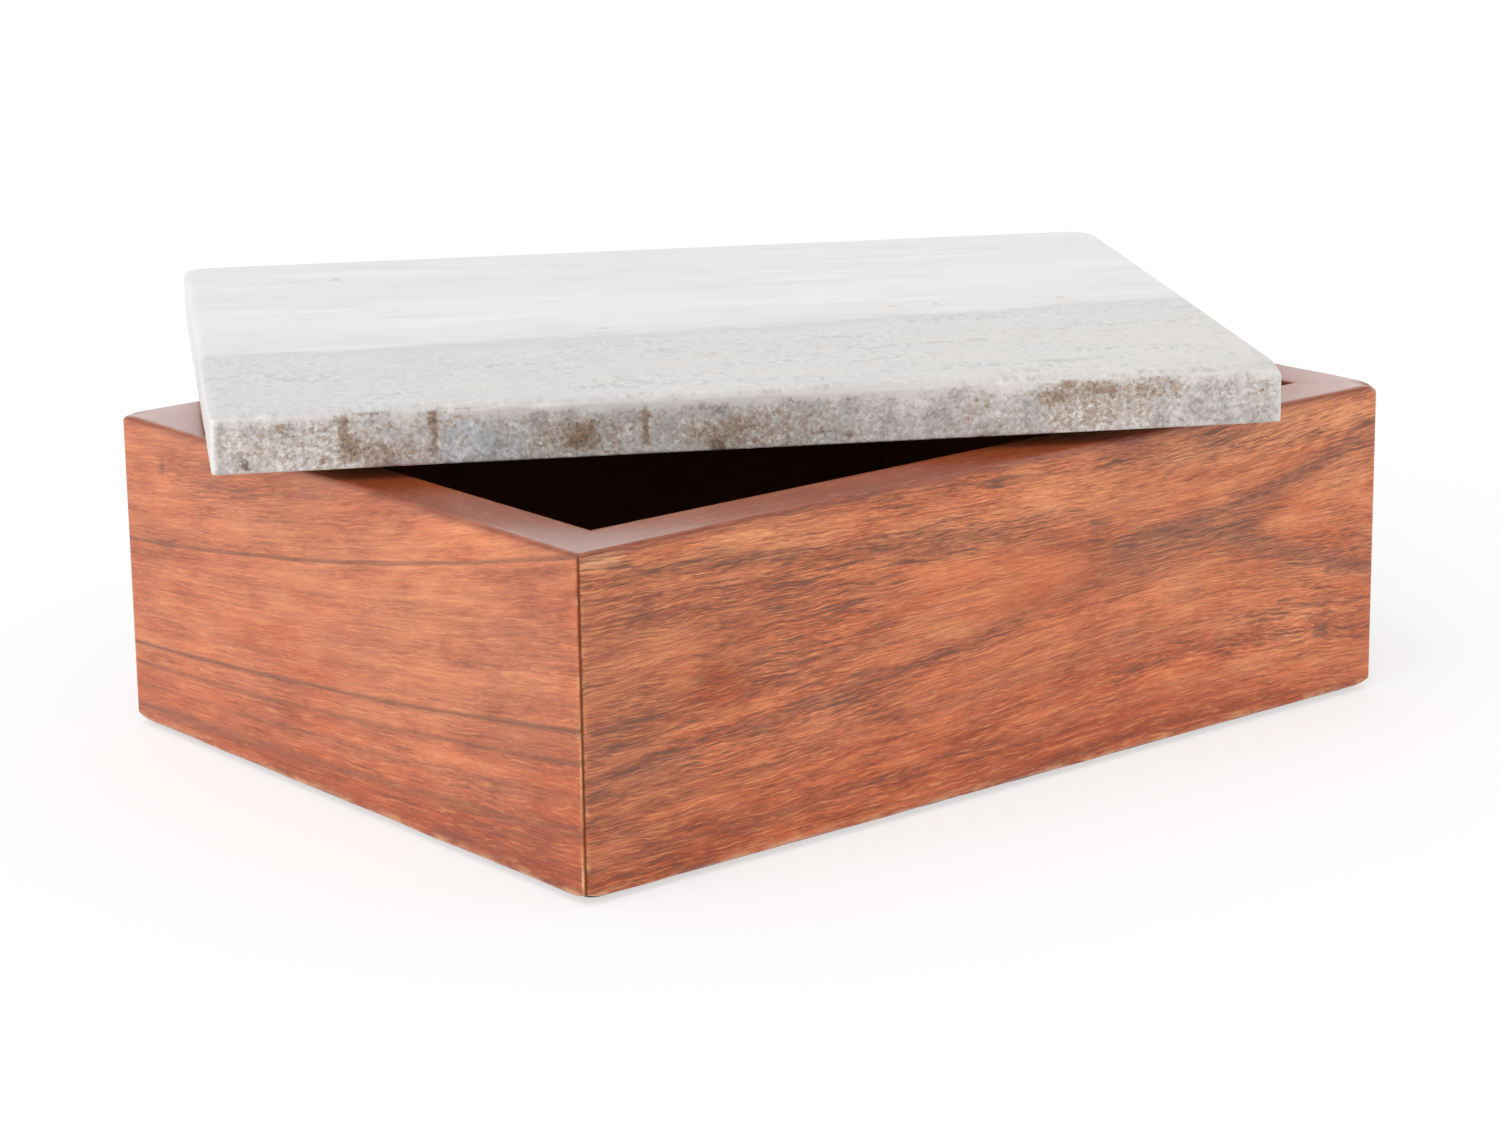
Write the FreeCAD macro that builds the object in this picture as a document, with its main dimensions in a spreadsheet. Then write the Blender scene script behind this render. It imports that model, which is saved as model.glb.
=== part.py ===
# A mitred hardwood box with a loose stone lid that lies askew on the rim.
# Millimetres. The origin is the middle of the underside, X runs along the
# length, the front wall faces -Y and Z is up.
import FreeCAD
import Part
import Sketcher
import os

# Driving sizes: name, value, and what it measures.
SIZES = [
    ("box_length", 250.0, "outside of the wooden box along X"),
    ("box_width", 185.0, "outside of the wooden box along Y"),
    ("box_height", 77.5, "wooden walls, from their feet to the rim"),
    ("wall_thickness", 15.0, "every wall, and so the width of the rim"),
    ("corner_round", 1.5, "upright outside corners of the box"),
    ("rim_round", 1.2, "outer edge of the rim"),
    ("rim_inner_round", 0.6, "inner edge of the rim"),
    ("foot_round", 1.2, "outer edge of the walls' feet"),
    ("round_share", 0.85, "largest edge round as a share of the corner that it runs round"),
    ("groove_lip", 4.0, "wood left under the groove for the base"),
    ("groove_depth", 5.0, "how far the groove goes into each wall"),
    ("tongue_thickness", 4.0, "edge of the base panel that runs in the groove"),
    ("base_play", 0.4, "room for the base panel to swell, on each side"),
    ("glue_gap", 0.1, "glue line on each side of a tongue or spline"),
    ("spline_width_share", 0.8, "spline across the mitre, share of the wall"),
    ("spline_thickness_share", 0.2, "spline along the mitre, share of the wall"),
    ("spline_place_share", 0.6, "spline's middle from the outside, share of the wall"),
    ("spline_cover", 8.0, "wood above the spline, and between it and the groove"),
    ("felt_thickness", 1.5, "felt under the box"),
    ("felt_setback", 4.0, "felt inside the outside of the walls"),
    ("felt_corner_round", 3.0, "corners of the felt"),
    ("slab_thickness", 14.0, "stone lid"),
    ("slab_corner_round", 2.4, "upright corners of the stone lid"),
    ("slab_top_round", 2.0, "upper edges of the stone lid"),
    ("slab_foot_round", 0.5, "lower edges of the stone lid"),
    ("locator_thickness", 3.0, "panel under the lid that drops into the opening"),
    ("locator_clearance", 1.0, "room between that panel and the walls, on each side"),
    ("locator_corner_round", 2.0, "upright corners of that panel"),
    ("locator_lead", 0.8, "chamfer that guides that panel into the opening"),
    ("lid_turn", 30.1, "degrees that the lid lies turned, clockwise from above"),
    ("lid_shift_x", 4.0, "middle of the lid from the middle of the box along X"),
    ("lid_shift_y", 27.5, "middle of the lid from the middle of the box along Y"),
    ("cut_overrun", 2.0, "how far a cut runs past the face that it leaves by"),
]

UP = FreeCAD.Vector(0, 0, 1)
DOWN = FreeCAD.Vector(0, 0, -1)
NEAR = 1e-6

doc = FreeCAD.newDocument("StorageBox")
sheet = doc.addObject("Spreadsheet::Sheet", "Sizes")
for row, (alias, value, note) in enumerate(SIZES, start=1):
    sheet.set(f"A{row}", note)
    sheet.set(f"B{row}", str(value))
    sheet.setAlias(f"B{row}", alias)
doc.recompute()

# Heights and lengths that several pieces share, written in the sheet's names.
OPENING_LENGTH = "(Sizes.box_length - 2 * Sizes.wall_thickness)"
OPENING_WIDTH = "(Sizes.box_width - 2 * Sizes.wall_thickness)"
GROOVE_HEIGHT = "(Sizes.tongue_thickness + 2 * Sizes.glue_gap)"
FIELD_HEIGHT = "(Sizes.groove_lip + Sizes.glue_gap)"
RIM_HEIGHT = "(Sizes.felt_thickness + Sizes.box_height)"
SPLINE_WIDTH = "(Sizes.spline_width_share * Sizes.wall_thickness)"
SPLINE_THICKNESS = "(Sizes.spline_thickness_share * Sizes.wall_thickness)"
SPLINE_PLACE = "(Sizes.spline_place_share * Sizes.wall_thickness)"
SPLINE_FOOT = f"(Sizes.groove_lip + {GROOVE_HEIGHT} + Sizes.spline_cover)"
SPLINE_HEIGHT = f"(Sizes.box_height - Sizes.spline_cover - {SPLINE_FOOT})"


def new_body(label):
    """A body whose label is the name of the piece."""
    body = doc.addObject("PartDesign::Body", label)
    body.Label = label
    return body


def new_sketch(body, name, offset=("0", "0", "0"), turn=0):
    """A sketch on the body's ground plane, moved by the offset and turned in degrees."""
    sketch = body.newObject("Sketcher::SketchObject", f"{body.Name}_{name}")
    ground = [plane for plane in body.Origin.OriginFeatures if plane.Role == "XY_Plane"][0]
    sketch.AttachmentSupport = [(ground, "")]
    sketch.MapMode = "FlatFace"
    sketch.AttachmentOffset = FreeCAD.Placement(FreeCAD.Vector(), FreeCAD.Rotation(UP, turn))
    for axis, expression in zip("xyz", offset):
        sketch.setExpression(f"AttachmentOffset.Base.{axis}", expression)
    return sketch


def name_size(sketch, constraint, name, expression):
    """Add a measured constraint and bind it to the sheet."""
    index = sketch.addConstraint(constraint)
    sketch.renameConstraint(index, name)
    sketch.setExpression(f"Constraints.{name}", expression)


def centred_rectangle(body, name, length, width, offset=("0", "0", "0"), turn=0):
    """A rectangle about its own middle, with its length along X before it is turned."""
    sketch = new_sketch(body, name, offset, turn)
    half = sheet.wall_thickness
    corners = [(-half, -half), (half, -half), (half, half), (-half, half)]
    points = [FreeCAD.Vector(x, y, 0) for x, y in corners]
    for start, end in zip(points, points[1:] + points[:1]):
        sketch.addGeometry(Part.LineSegment(start, end))
    for side in range(4):
        sketch.addConstraint(Sketcher.Constraint("Coincident", side, 2, (side + 1) % 4, 1))
        sketch.addConstraint(Sketcher.Constraint("Vertical" if side % 2 else "Horizontal", side))
    sketch.addConstraint(Sketcher.Constraint("Symmetric", 0, 1, 1, 2, -1, 1))
    name_size(sketch, Sketcher.Constraint("DistanceX", 0, 1, 0, 2, half), "Length", length)
    name_size(sketch, Sketcher.Constraint("DistanceY", 1, 1, 1, 2, half), "Width", width)
    return sketch


def pad(body, sketch, height):
    """Raise a sketch into a solid."""
    solid = body.newObject("PartDesign::Pad", f"{sketch.Name}_pad")
    solid.Profile = sketch
    solid.setExpression("Length", height)
    doc.recompute()
    return solid


def pocket(body, sketch, height):
    """Cut upwards from a sketch, and make sure that wood came away."""
    before = body.Tip.Shape.Volume
    cut = body.newObject("PartDesign::Pocket", f"{sketch.Name}_cut")
    cut.Profile = sketch
    cut.Reversed = True
    cut.setExpression("Length", height)
    doc.recompute()
    if cut.Shape.Volume > before - NEAR:
        raise RuntimeError(f"{cut.Name} cut nothing")
    return cut


def dress(body, kind, name, size, chosen):
    """Round (Fillet) or bevel (Chamfer) the edges that the test on their box chooses."""
    base = body.Tip
    names = [f"Edge{i}" for i, edge in enumerate(base.Shape.Edges, start=1) if chosen(edge.BoundBox)]
    feature = body.newObject(f"PartDesign::{kind}", f"{body.Name}_{name}")
    feature.Base = (base, names)
    feature.setExpression("Radius" if kind == "Fillet" else "Size", size)
    doc.recompute()
    return feature


def is_upright(box):
    return box.ZLength > NEAR and box.XLength < NEAR and box.YLength < NEAR


def lies_at(box, height):
    return abs(box.ZMin - height) < NEAR and abs(box.ZMax - height) < NEAR


def runs_at(box, depth, height):
    """An edge along X at one depth and one height."""
    return lies_at(box, height) and abs(box.YMin - depth) < NEAR and abs(box.YMax - depth) < NEAR


def place(body, x, y, z, axis=UP, turn=0.0):
    """Stand a piece in the box's frame, with its place bound to the sheet."""
    body.Placement = FreeCAD.Placement(FreeCAD.Vector(), FreeCAD.Rotation(axis, turn))
    for name, expression in (("x", x), ("y", y), ("z", z)):
        body.setExpression(f"Placement.Base.{name}", expression)


def wall_outline(body, run):
    """Plan of a wall: outside on the X axis, mitred ends, and half of each rounded corner.

    A mitre runs through the middle of its corner's arc, so it cuts that arc square.
    """
    sketch = new_sketch(body, "outline")
    corner = sheet.corner_round
    thick = sheet.wall_thickness
    reach = sheet.get(run) / 2
    middle = reach - corner
    inner = reach - thick
    eighth = FreeCAD.Vector(corner, 0, 0)
    right = FreeCAD.Vector(middle, corner, 0)
    left = FreeCAD.Vector(-middle, corner, 0)
    right_cut = right + FreeCAD.Rotation(UP, -45).multVec(eighth)
    left_cut = left + FreeCAD.Rotation(UP, -135).multVec(eighth)
    right_foot = FreeCAD.Vector(middle, 0, 0)
    left_foot = FreeCAD.Vector(-middle, 0, 0)
    right_inner = FreeCAD.Vector(inner, thick, 0)
    left_inner = FreeCAD.Vector(-inner, thick, 0)
    right_circle = Part.Circle(right, UP, corner)
    left_circle = Part.Circle(left, UP, corner)
    outside = sketch.addGeometry(Part.LineSegment(left_foot, right_foot))
    right_arc = sketch.addGeometry(
        Part.ArcOfCircle(right_circle, right_circle.parameter(right_foot), right_circle.parameter(right_cut)))
    right_mitre = sketch.addGeometry(Part.LineSegment(right_cut, right_inner))
    inside = sketch.addGeometry(Part.LineSegment(right_inner, left_inner))
    left_mitre = sketch.addGeometry(Part.LineSegment(left_inner, left_cut))
    left_arc = sketch.addGeometry(
        Part.ArcOfCircle(left_circle, left_circle.parameter(left_cut), left_circle.parameter(left_foot)))
    for rule in (
            ("Tangent", outside, 2, right_arc, 1),
            ("Coincident", right_arc, 2, right_mitre, 1),
            ("Coincident", right_mitre, 2, inside, 1),
            ("Coincident", inside, 2, left_mitre, 1),
            ("Coincident", left_mitre, 2, left_arc, 1),
            ("Tangent", left_arc, 2, outside, 1),
            ("Horizontal", outside),
            ("Symmetric", outside, 1, outside, 2, -1, 1),
            ("Symmetric", inside, 1, inside, 2, -2),
            ("Equal", right_arc, left_arc),
            ("PointOnObject", right_arc, 3, right_mitre),
            ("PointOnObject", left_arc, 3, left_mitre)):
        sketch.addConstraint(Sketcher.Constraint(*rule))
    name_size(sketch, Sketcher.Constraint("Radius", right_arc, corner), "Corner", "Sizes.corner_round")
    name_size(sketch, Sketcher.Constraint("DistanceX", outside, 1, outside, 2, 2 * middle), "Outside",
              f"Sizes.{run} - 2 * Sizes.corner_round")
    name_size(sketch, Sketcher.Constraint("DistanceX", inside, 2, inside, 1, 2 * inner), "Inside",
              f"Sizes.{run} - 2 * Sizes.wall_thickness")
    name_size(sketch, Sketcher.Constraint("DistanceY", outside, 1, inside, 1, thick), "Thickness",
              "Sizes.wall_thickness")
    return sketch


def make_wall(label, run, x, y, turn):
    """A wall with its outside on the X axis: groove for the base, a slot in each mitre, eased edges."""
    body = new_body(label)
    pad(body, wall_outline(body, run), "Sizes.box_height")
    rim = sheet.box_height
    outer_limit = "Sizes.corner_round * Sizes.round_share"
    dress(body, "Fillet", "rim", f"min(Sizes.rim_round; {outer_limit})",
          lambda box: runs_at(box, 0, rim))
    dress(body, "Fillet", "rim_inside", "Sizes.rim_inner_round",
          lambda box: runs_at(box, sheet.wall_thickness, rim))
    dress(body, "Fillet", "foot", f"min(Sizes.foot_round; {outer_limit})",
          lambda box: runs_at(box, 0, 0))
    groove_y = "Sizes.wall_thickness + (Sizes.cut_overrun - Sizes.groove_depth) / 2"
    groove = centred_rectangle(body, "groove", f"Sizes.{run}", "Sizes.groove_depth + Sizes.cut_overrun",
                               ("0", groove_y, "Sizes.groove_lip"))
    pocket(body, groove, GROOVE_HEIGHT)
    for end, sign, slant in (("left", "-", -45), ("right", "+", 45)):
        slot_x = f"{sign}(Sizes.{run} / 2 - {SPLINE_PLACE})"
        slot = centred_rectangle(body, f"slot_{end}", SPLINE_WIDTH, SPLINE_THICKNESS,
                                 (slot_x, SPLINE_PLACE, SPLINE_FOOT), slant)
        pocket(body, slot, SPLINE_HEIGHT)
    place(body, x, y, "Sizes.felt_thickness", UP, turn)
    return body


def make_spline(label, side_x, side_y, slant):
    """A loose tongue that crosses one mitre, a glue line smaller than its slot all round."""
    body = new_body(label)
    outline = centred_rectangle(body, "outline", f"{SPLINE_WIDTH} - 2 * Sizes.glue_gap",
                                f"{SPLINE_THICKNESS} - 2 * Sizes.glue_gap")
    pad(body, outline, f"{SPLINE_HEIGHT} - 2 * Sizes.glue_gap")
    place(body, f"{side_x}(Sizes.box_length / 2 - {SPLINE_PLACE})",
          f"{side_y}(Sizes.box_width / 2 - {SPLINE_PLACE})",
          f"Sizes.felt_thickness + {SPLINE_FOOT} + Sizes.glue_gap", UP, slant)
    return body


def make_base():
    """The bottom: a field flush with the walls' feet under a wider plate whose edge is the tongue."""
    body = new_body("base_panel")
    field = centred_rectangle(body, "field", f"{OPENING_LENGTH} - 2 * Sizes.base_play",
                              f"{OPENING_WIDTH} - 2 * Sizes.base_play")
    pad(body, field, FIELD_HEIGHT)
    spread = "2 * (Sizes.groove_depth - Sizes.base_play)"
    tongue = centred_rectangle(body, "tongue", f"{OPENING_LENGTH} + {spread}",
                               f"{OPENING_WIDTH} + {spread}", ("0", "0", FIELD_HEIGHT))
    pad(body, tongue, "Sizes.tongue_thickness")
    place(body, "0", "0", "Sizes.felt_thickness")
    return body


def make_felt():
    """The felt that the box stands on."""
    body = new_body("felt_sheet")
    outline = centred_rectangle(body, "outline", "Sizes.box_length - 2 * Sizes.felt_setback",
                                "Sizes.box_width - 2 * Sizes.felt_setback")
    pad(body, outline, "Sizes.felt_thickness")
    dress(body, "Fillet", "corners", "Sizes.felt_corner_round", is_upright)
    return body


def lay_lid_piece(body, height):
    """Lay a piece of the lid askew on the rim, turned clockwise."""
    place(body, "Sizes.lid_shift_x", "Sizes.lid_shift_y", height, DOWN, sheet.lid_turn)
    body.setExpression("Placement.Rotation.Angle", "Sizes.lid_turn")


def make_slab():
    """The stone lid: the size of the box, with a polished round along its upper edges."""
    body = new_body("lid_slab")
    outline = centred_rectangle(body, "outline", "Sizes.box_length", "Sizes.box_width")
    pad(body, outline, "Sizes.slab_thickness")
    limit = "Sizes.slab_corner_round * Sizes.round_share"
    dress(body, "Fillet", "corners", "Sizes.slab_corner_round", is_upright)
    dress(body, "Fillet", "top", f"min(Sizes.slab_top_round; {limit})",
          lambda box: lies_at(box, sheet.slab_thickness))
    dress(body, "Fillet", "foot", f"min(Sizes.slab_foot_round; {limit})",
          lambda box: lies_at(box, 0))
    lay_lid_piece(body, f"{RIM_HEIGHT} + Sizes.locator_thickness")
    return body


def make_locator():
    """The panel glued under the slab, a little smaller than the opening, bevelled to find its way in."""
    body = new_body("lid_panel")
    outline = centred_rectangle(body, "outline", f"{OPENING_LENGTH} - 2 * Sizes.locator_clearance",
                                f"{OPENING_WIDTH} - 2 * Sizes.locator_clearance")
    pad(body, outline, "Sizes.locator_thickness")
    dress(body, "Fillet", "corners", "Sizes.locator_corner_round", is_upright)
    limit = "Sizes.locator_corner_round * Sizes.round_share"
    dress(body, "Chamfer", "lead", f"min(Sizes.locator_lead; {limit})",
          lambda box: lies_at(box, 0))
    lay_lid_piece(body, RIM_HEIGHT)
    return body


pieces = [
    make_wall("front_wall", "box_length", "0", "-Sizes.box_width / 2", 0),
    make_wall("right_wall", "box_width", "Sizes.box_length / 2", "0", 90),
    make_wall("back_wall", "box_length", "0", "Sizes.box_width / 2", 180),
    make_wall("left_wall", "box_width", "-Sizes.box_length / 2", "0", 270),
    make_spline("spline_front_left", "-", "-", -45),
    make_spline("spline_front_right", "+", "-", 45),
    make_spline("spline_back_left", "-", "+", 45),
    make_spline("spline_back_right", "+", "+", -45),
    make_base(),
    make_felt(),
    make_slab(),
    make_locator(),
]
doc.recompute()

for item in doc.Objects:
    if "Invalid" in item.State or "Error" in item.State:
        raise RuntimeError(f"{item.Label} failed: {item.State}")
for piece in pieces:
    if piece.Shape.isNull() or not piece.Shape.isValid() or len(piece.Shape.Solids) != 1:
        raise RuntimeError(f"{piece.Label} is not one valid solid")

os.makedirs("parts", exist_ok=True)
for piece in pieces:
    piece.Shape.exportStep(f"parts/{piece.Label}.step")
    box = piece.Shape.BoundBox
    print(f"{piece.Label}: {box.XLength:.2f} x {box.YLength:.2f} x {box.ZLength:.2f} mm, "
          f"{piece.Shape.Volume / 1000:.2f} cm3")
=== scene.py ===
# %% [markdown]
# # A wooden storage box under a loose stone lid
# Four mitred hardwood walls hold a wooden bottom in a groove, and a marble slab lies askew on the rim.
# The construction comes in as a fixed frame of solids. This lesson gives each piece that shows a
# surface worked out with numpy and a finish made of shader nodes, and never moves what the frame
# placed. Sizes are in millimetres until the moment a mesh is written, which is in metres.

# %% Load the frame
import math
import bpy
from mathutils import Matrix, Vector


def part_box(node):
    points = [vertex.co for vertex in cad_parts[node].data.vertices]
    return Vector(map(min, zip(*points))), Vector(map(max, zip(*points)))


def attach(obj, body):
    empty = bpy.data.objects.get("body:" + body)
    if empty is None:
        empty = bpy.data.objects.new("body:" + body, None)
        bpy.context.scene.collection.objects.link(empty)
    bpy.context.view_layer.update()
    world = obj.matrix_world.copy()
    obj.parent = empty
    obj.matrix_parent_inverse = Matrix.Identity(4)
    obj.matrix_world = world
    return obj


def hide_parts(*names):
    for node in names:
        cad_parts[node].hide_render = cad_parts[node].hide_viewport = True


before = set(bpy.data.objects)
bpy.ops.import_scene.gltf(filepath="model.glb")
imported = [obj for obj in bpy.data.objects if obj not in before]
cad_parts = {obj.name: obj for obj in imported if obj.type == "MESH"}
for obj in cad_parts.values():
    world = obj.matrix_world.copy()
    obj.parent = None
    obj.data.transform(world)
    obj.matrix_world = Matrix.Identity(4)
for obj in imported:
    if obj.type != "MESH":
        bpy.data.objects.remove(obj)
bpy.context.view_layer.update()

from types import SimpleNamespace

import bpy
import numpy as np
from mathutils import Quaternion, Vector

MM = 0.001
print("nodes in the frame:", ", ".join(sorted(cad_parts)))

# %% [markdown]
# ## The camera
# The photograph was taken from a little above the near corner with a long lens, so the box's edges
# hardly converge. A camera could be aimed with a constraint; here its place is worked out from where
# it aims, how far away it stands and three angles, so that the view can be read off the numbers.

# %% Camera
AIM = Vector((-10.63, -10.34, 40.0)) * MM
DISTANCE = 996.5 * MM
VIEW_AZIMUTH = math.radians(-39.345)
VIEW_ELEVATION = math.radians(14.769)
VIEW_ROLL = math.radians(-0.767)
LENS_MM = 97.345
SENSOR_MM = 36.0

towards_camera = Vector((
    math.sin(VIEW_AZIMUTH) * math.cos(VIEW_ELEVATION),
    -math.cos(VIEW_AZIMUTH) * math.cos(VIEW_ELEVATION),
    math.sin(VIEW_ELEVATION),
))
camera = bpy.data.objects.new("camera", bpy.data.cameras.new("camera"))
camera.data.lens = LENS_MM
camera.data.sensor_width = SENSOR_MM
camera.location = AIM + towards_camera * DISTANCE
camera.rotation_mode = "QUATERNION"
level_view = (-towards_camera).to_track_quat("-Z", "Y")
camera.rotation_quaternion = level_view @ Quaternion((0, 0, 1), VIEW_ROLL)
bpy.context.scene.collection.objects.link(camera)
bpy.context.scene.camera = camera
print("camera at", [round(x / MM, 1) for x in camera.location], "mm")

# %% [markdown]
# ## A bench for nodes
# The light, the floor and every finish are small trees of shader nodes. Adding nodes one by one in
# code is wordy, so a bench that makes a node with its settings and inputs in place keeps the recipes
# short.

# %% Node bench


class Bench:
    """The node tree of a world or a material, laid out to work on."""

    def __init__(self, owner):
        owner.use_nodes = True
        self.tree = owner.node_tree

    def feed(self, socket, value):
        """A socket gets another socket's value, or a constant."""
        if isinstance(value, bpy.types.NodeSocket):
            self.tree.links.new(value, socket)
        else:
            socket.default_value = value

    def node(self, kind, inputs, **settings):
        """A new node with its settings and inputs in place."""
        node = self.tree.nodes.new(kind)
        for key, value in settings.items():
            setattr(node, key, value)
        for key, value in inputs.items():
            self.feed(node.inputs[key], value)
        return node

    def math(self, operation, first, second=0.0):
        """One sum on two values."""
        return self.node("ShaderNodeMath", {0: first, 1: second}, operation=operation).outputs[0]

    def seen_directly(self):
        """1 for camera, glossy and transmission rays and 0 for the rest: the largest of the three."""
        rays = self.node("ShaderNodeLightPath", {}).outputs
        mirrored = self.math("MAXIMUM", rays["Is Glossy Ray"], rays["Is Transmission Ray"])
        return self.math("MAXIMUM", rays["Is Camera Ray"], mirrored)

    def mixed_shader(self, factor, first, second):
        """Two shaders mixed: first at 0, second at 1."""
        return self.node("ShaderNodeMixShader", {0: factor, 1: first, 2: second}).outputs[0]


print("the bench is ready")

# %% [markdown]
# ## Studio light
# The box stands in a white studio: light comes from all round, a little stronger from the left and
# from above. Wide sun lamps light the floor evenly at any distance, where area lamps would leave it
# grey at the back. The world is white for what the camera and the reflections see, and dimmer for
# the light that it gives.

# %% World and lamps
WHITE = (1, 1, 1, 1)
AMBIENT = 0.5
LAMPS = {
    "key_from_the_left": {"towards": (-0.72, -0.26, 0.60), "strength": 1.75, "angle": 70},
    "soft_from_above": {"towards": (0.05, 0.15, 1.0), "strength": 0.85, "angle": 100},
}

bpy.context.scene.view_settings.view_transform = "Standard"
world = bpy.data.worlds.new("white_studio")
bpy.context.scene.world = world
sky = Bench(world)
sky.tree.nodes.clear()
lighting, seen = [
    sky.node("ShaderNodeBackground", {"Color": WHITE, "Strength": strength}).outputs[0]
    for strength in (AMBIENT, 1.0)
]
surroundings = sky.mixed_shader(sky.seen_directly(), lighting, seen)
sky.node("ShaderNodeOutputWorld", {"Surface": surroundings})

for name, lamp in LAMPS.items():
    light = bpy.data.lights.new(name, "SUN")
    light.energy = lamp["strength"]
    light.angle = math.radians(lamp["angle"])
    holder = bpy.data.objects.new(name, light)
    holder.rotation_mode = "QUATERNION"
    holder.rotation_quaternion = (-Vector(lamp["towards"])).to_track_quat("-Z", "Y")
    bpy.context.scene.collection.objects.link(holder)
print("lamps:", ", ".join(LAMPS))

# %% [markdown]
# ## The floor
# A sheet of white paper. It gives and takes light as paper does. For the camera it is lifted most of
# the way to white, so that only a soft shadow is left where the box stands.

# %% Floor
CORNERS = ((-1, -1), (1, -1), (1, 1), (-1, 1))
FLOOR_HALF = 4.0
FLOOR_WHITE = (0.93, 0.93, 0.93, 1)
FLOOR_LIFT = 0.62

floor_mesh = bpy.data.meshes.new("floor")
floor_corners = [(FLOOR_HALF * side_x, FLOOR_HALF * side_y, 0) for side_x, side_y in CORNERS]
floor_mesh.from_pydata(floor_corners, [], [(0, 1, 2, 3)])
floor = bpy.data.objects.new("floor", floor_mesh)
bpy.context.scene.collection.objects.link(floor)
paper = bpy.data.materials.new("white_paper")
sheet = Bench(paper)
sheet.tree.nodes.clear()
matt = sheet.node("ShaderNodeBsdfDiffuse", {"Color": FLOOR_WHITE}).outputs[0]
white = sheet.node("ShaderNodeEmission", {"Color": WHITE, "Strength": 1.0}).outputs[0]
lifted = sheet.mixed_shader(FLOOR_LIFT, matt, white)
paper_surface = sheet.mixed_shader(sheet.seen_directly(), matt, lifted)
sheet.node("ShaderNodeOutputMaterial", {"Surface": paper_surface})
floor_mesh.materials.append(paper)
print("floor", 2 * FLOOR_HALF, "m wide")

# %% [markdown]
# ## Sizes
# What the pieces share is read off the frame, so the surfaces fit it to the hair. Only what a corner
# of a bounding box can't tell, such as how round an edge is, is written here again.

# %% Sizes from the frame
LID_TURN = math.radians(-30.1)


def extent(node):
    """A node's lowest corner and its size along X, Y and Z, in millimetres."""
    low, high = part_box(node)
    return np.array(low) / MM, np.array(high - low) / MM


front_low, front_size = extent("front_wall")
back_low, back_size = extent("back_wall")
left_low, left_size = extent("left_wall")
right_low, right_size = extent("right_wall")
slab_low, slab_size = extent("lid_slab")
panel_low, panel_size = extent("lid_panel")
base_low, base_size = extent("base_panel")
felt_low, felt_size = extent("felt_sheet")

WALL = float(front_size[1])
WALL_HEIGHT = float(front_size[2])
WALL_FOOT = float(front_low[2])
BOX_LENGTH = float((right_low + right_size - left_low)[0])
BOX_WIDTH = float((back_low + back_size - front_low)[1])
SLAB_THICKNESS = float(slab_size[2])
LID_CENTRE = (slab_low + slab_size / 2)[:2]
print(f"box {BOX_LENGTH:.1f} x {BOX_WIDTH:.1f} x {WALL_HEIGHT:.1f} mm, walls {WALL:.1f} mm"
      f" ({left_size[0]:.1f} at the sides), slab {SLAB_THICKNESS:.1f} mm")

# %% [markdown]
# ## Helpers for surfaces
# Nothing made by hand is dead straight, so a few slow waves with fixed seeds unsettle the surfaces a
# little. Most marks of wear are bell curves of some distance, or straight slopes from 0 to 1. Places
# along an edge are packed closely near its ends, where the rounding is. A mesh is written from whole
# arrays, and its volume is printed, because a positive volume also says that its faces point outwards.

# %% Helpers
SHARP_ANGLE = math.radians(38)
LENGTH_SPREAD = (0.6, 1.7)


def slow_waves(seed, position, wavelength, waves=6):
    """The mean of a few cosines with random lengths and phases, between -1 and 1 and mostly near 0."""
    draw = np.random.default_rng(seed)
    lengths = wavelength * draw.uniform(*LENGTH_SPREAD, waves)
    phases = draw.uniform(0, 2 * np.pi, waves)
    position = np.asarray(position, float)[..., None]
    return np.cos(2 * np.pi * position / lengths + phases).mean(-1)


def bell(*offsets):
    """The exponential of minus the sum of the offsets' squares: 1 where all of them are 0."""
    return np.exp(-sum(offset ** 2 for offset in offsets))


def slope_up(value, start, reach):
    """0 up to start, 1 from a reach beyond it, and a straight line between."""
    return np.clip((value - start) / reach, 0, 1)


def places(start, stop, step, fine_step=None, reach=0.0):
    """Places from start to stop: a fine step apart within reach of both ends, a coarse one between."""
    count = max(2, math.ceil((stop - start - 2 * reach) / step) + 1)
    middle = np.linspace(start + reach, stop - reach, count)
    if fine_step is None:
        return middle
    ends = np.arange(0, reach - fine_step / 2, fine_step)
    return np.concatenate([start + ends, middle, stop - ends[::-1]])


def grid_quads(rows, columns):
    """The four corners of every cell of a grid whose last column joins its first."""
    index = np.arange(rows * columns).reshape(rows, columns)
    beside = np.roll(index, -1, axis=1)
    return np.stack([index[:-1], index[1:], beside[1:], beside[:-1]], axis=-1).reshape(-1, 4)


def set_in_frame(points, centre, foot, turn=0.0):
    """A piece's own coordinates to the frame's: turned about Z, and moved to its centre and foot."""
    along, across, height = points.T
    return np.stack([centre[0] + along * math.cos(turn) - across * math.sin(turn),
                     centre[1] + along * math.sin(turn) + across * math.cos(turn),
                     foot + height], axis=-1)


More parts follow.
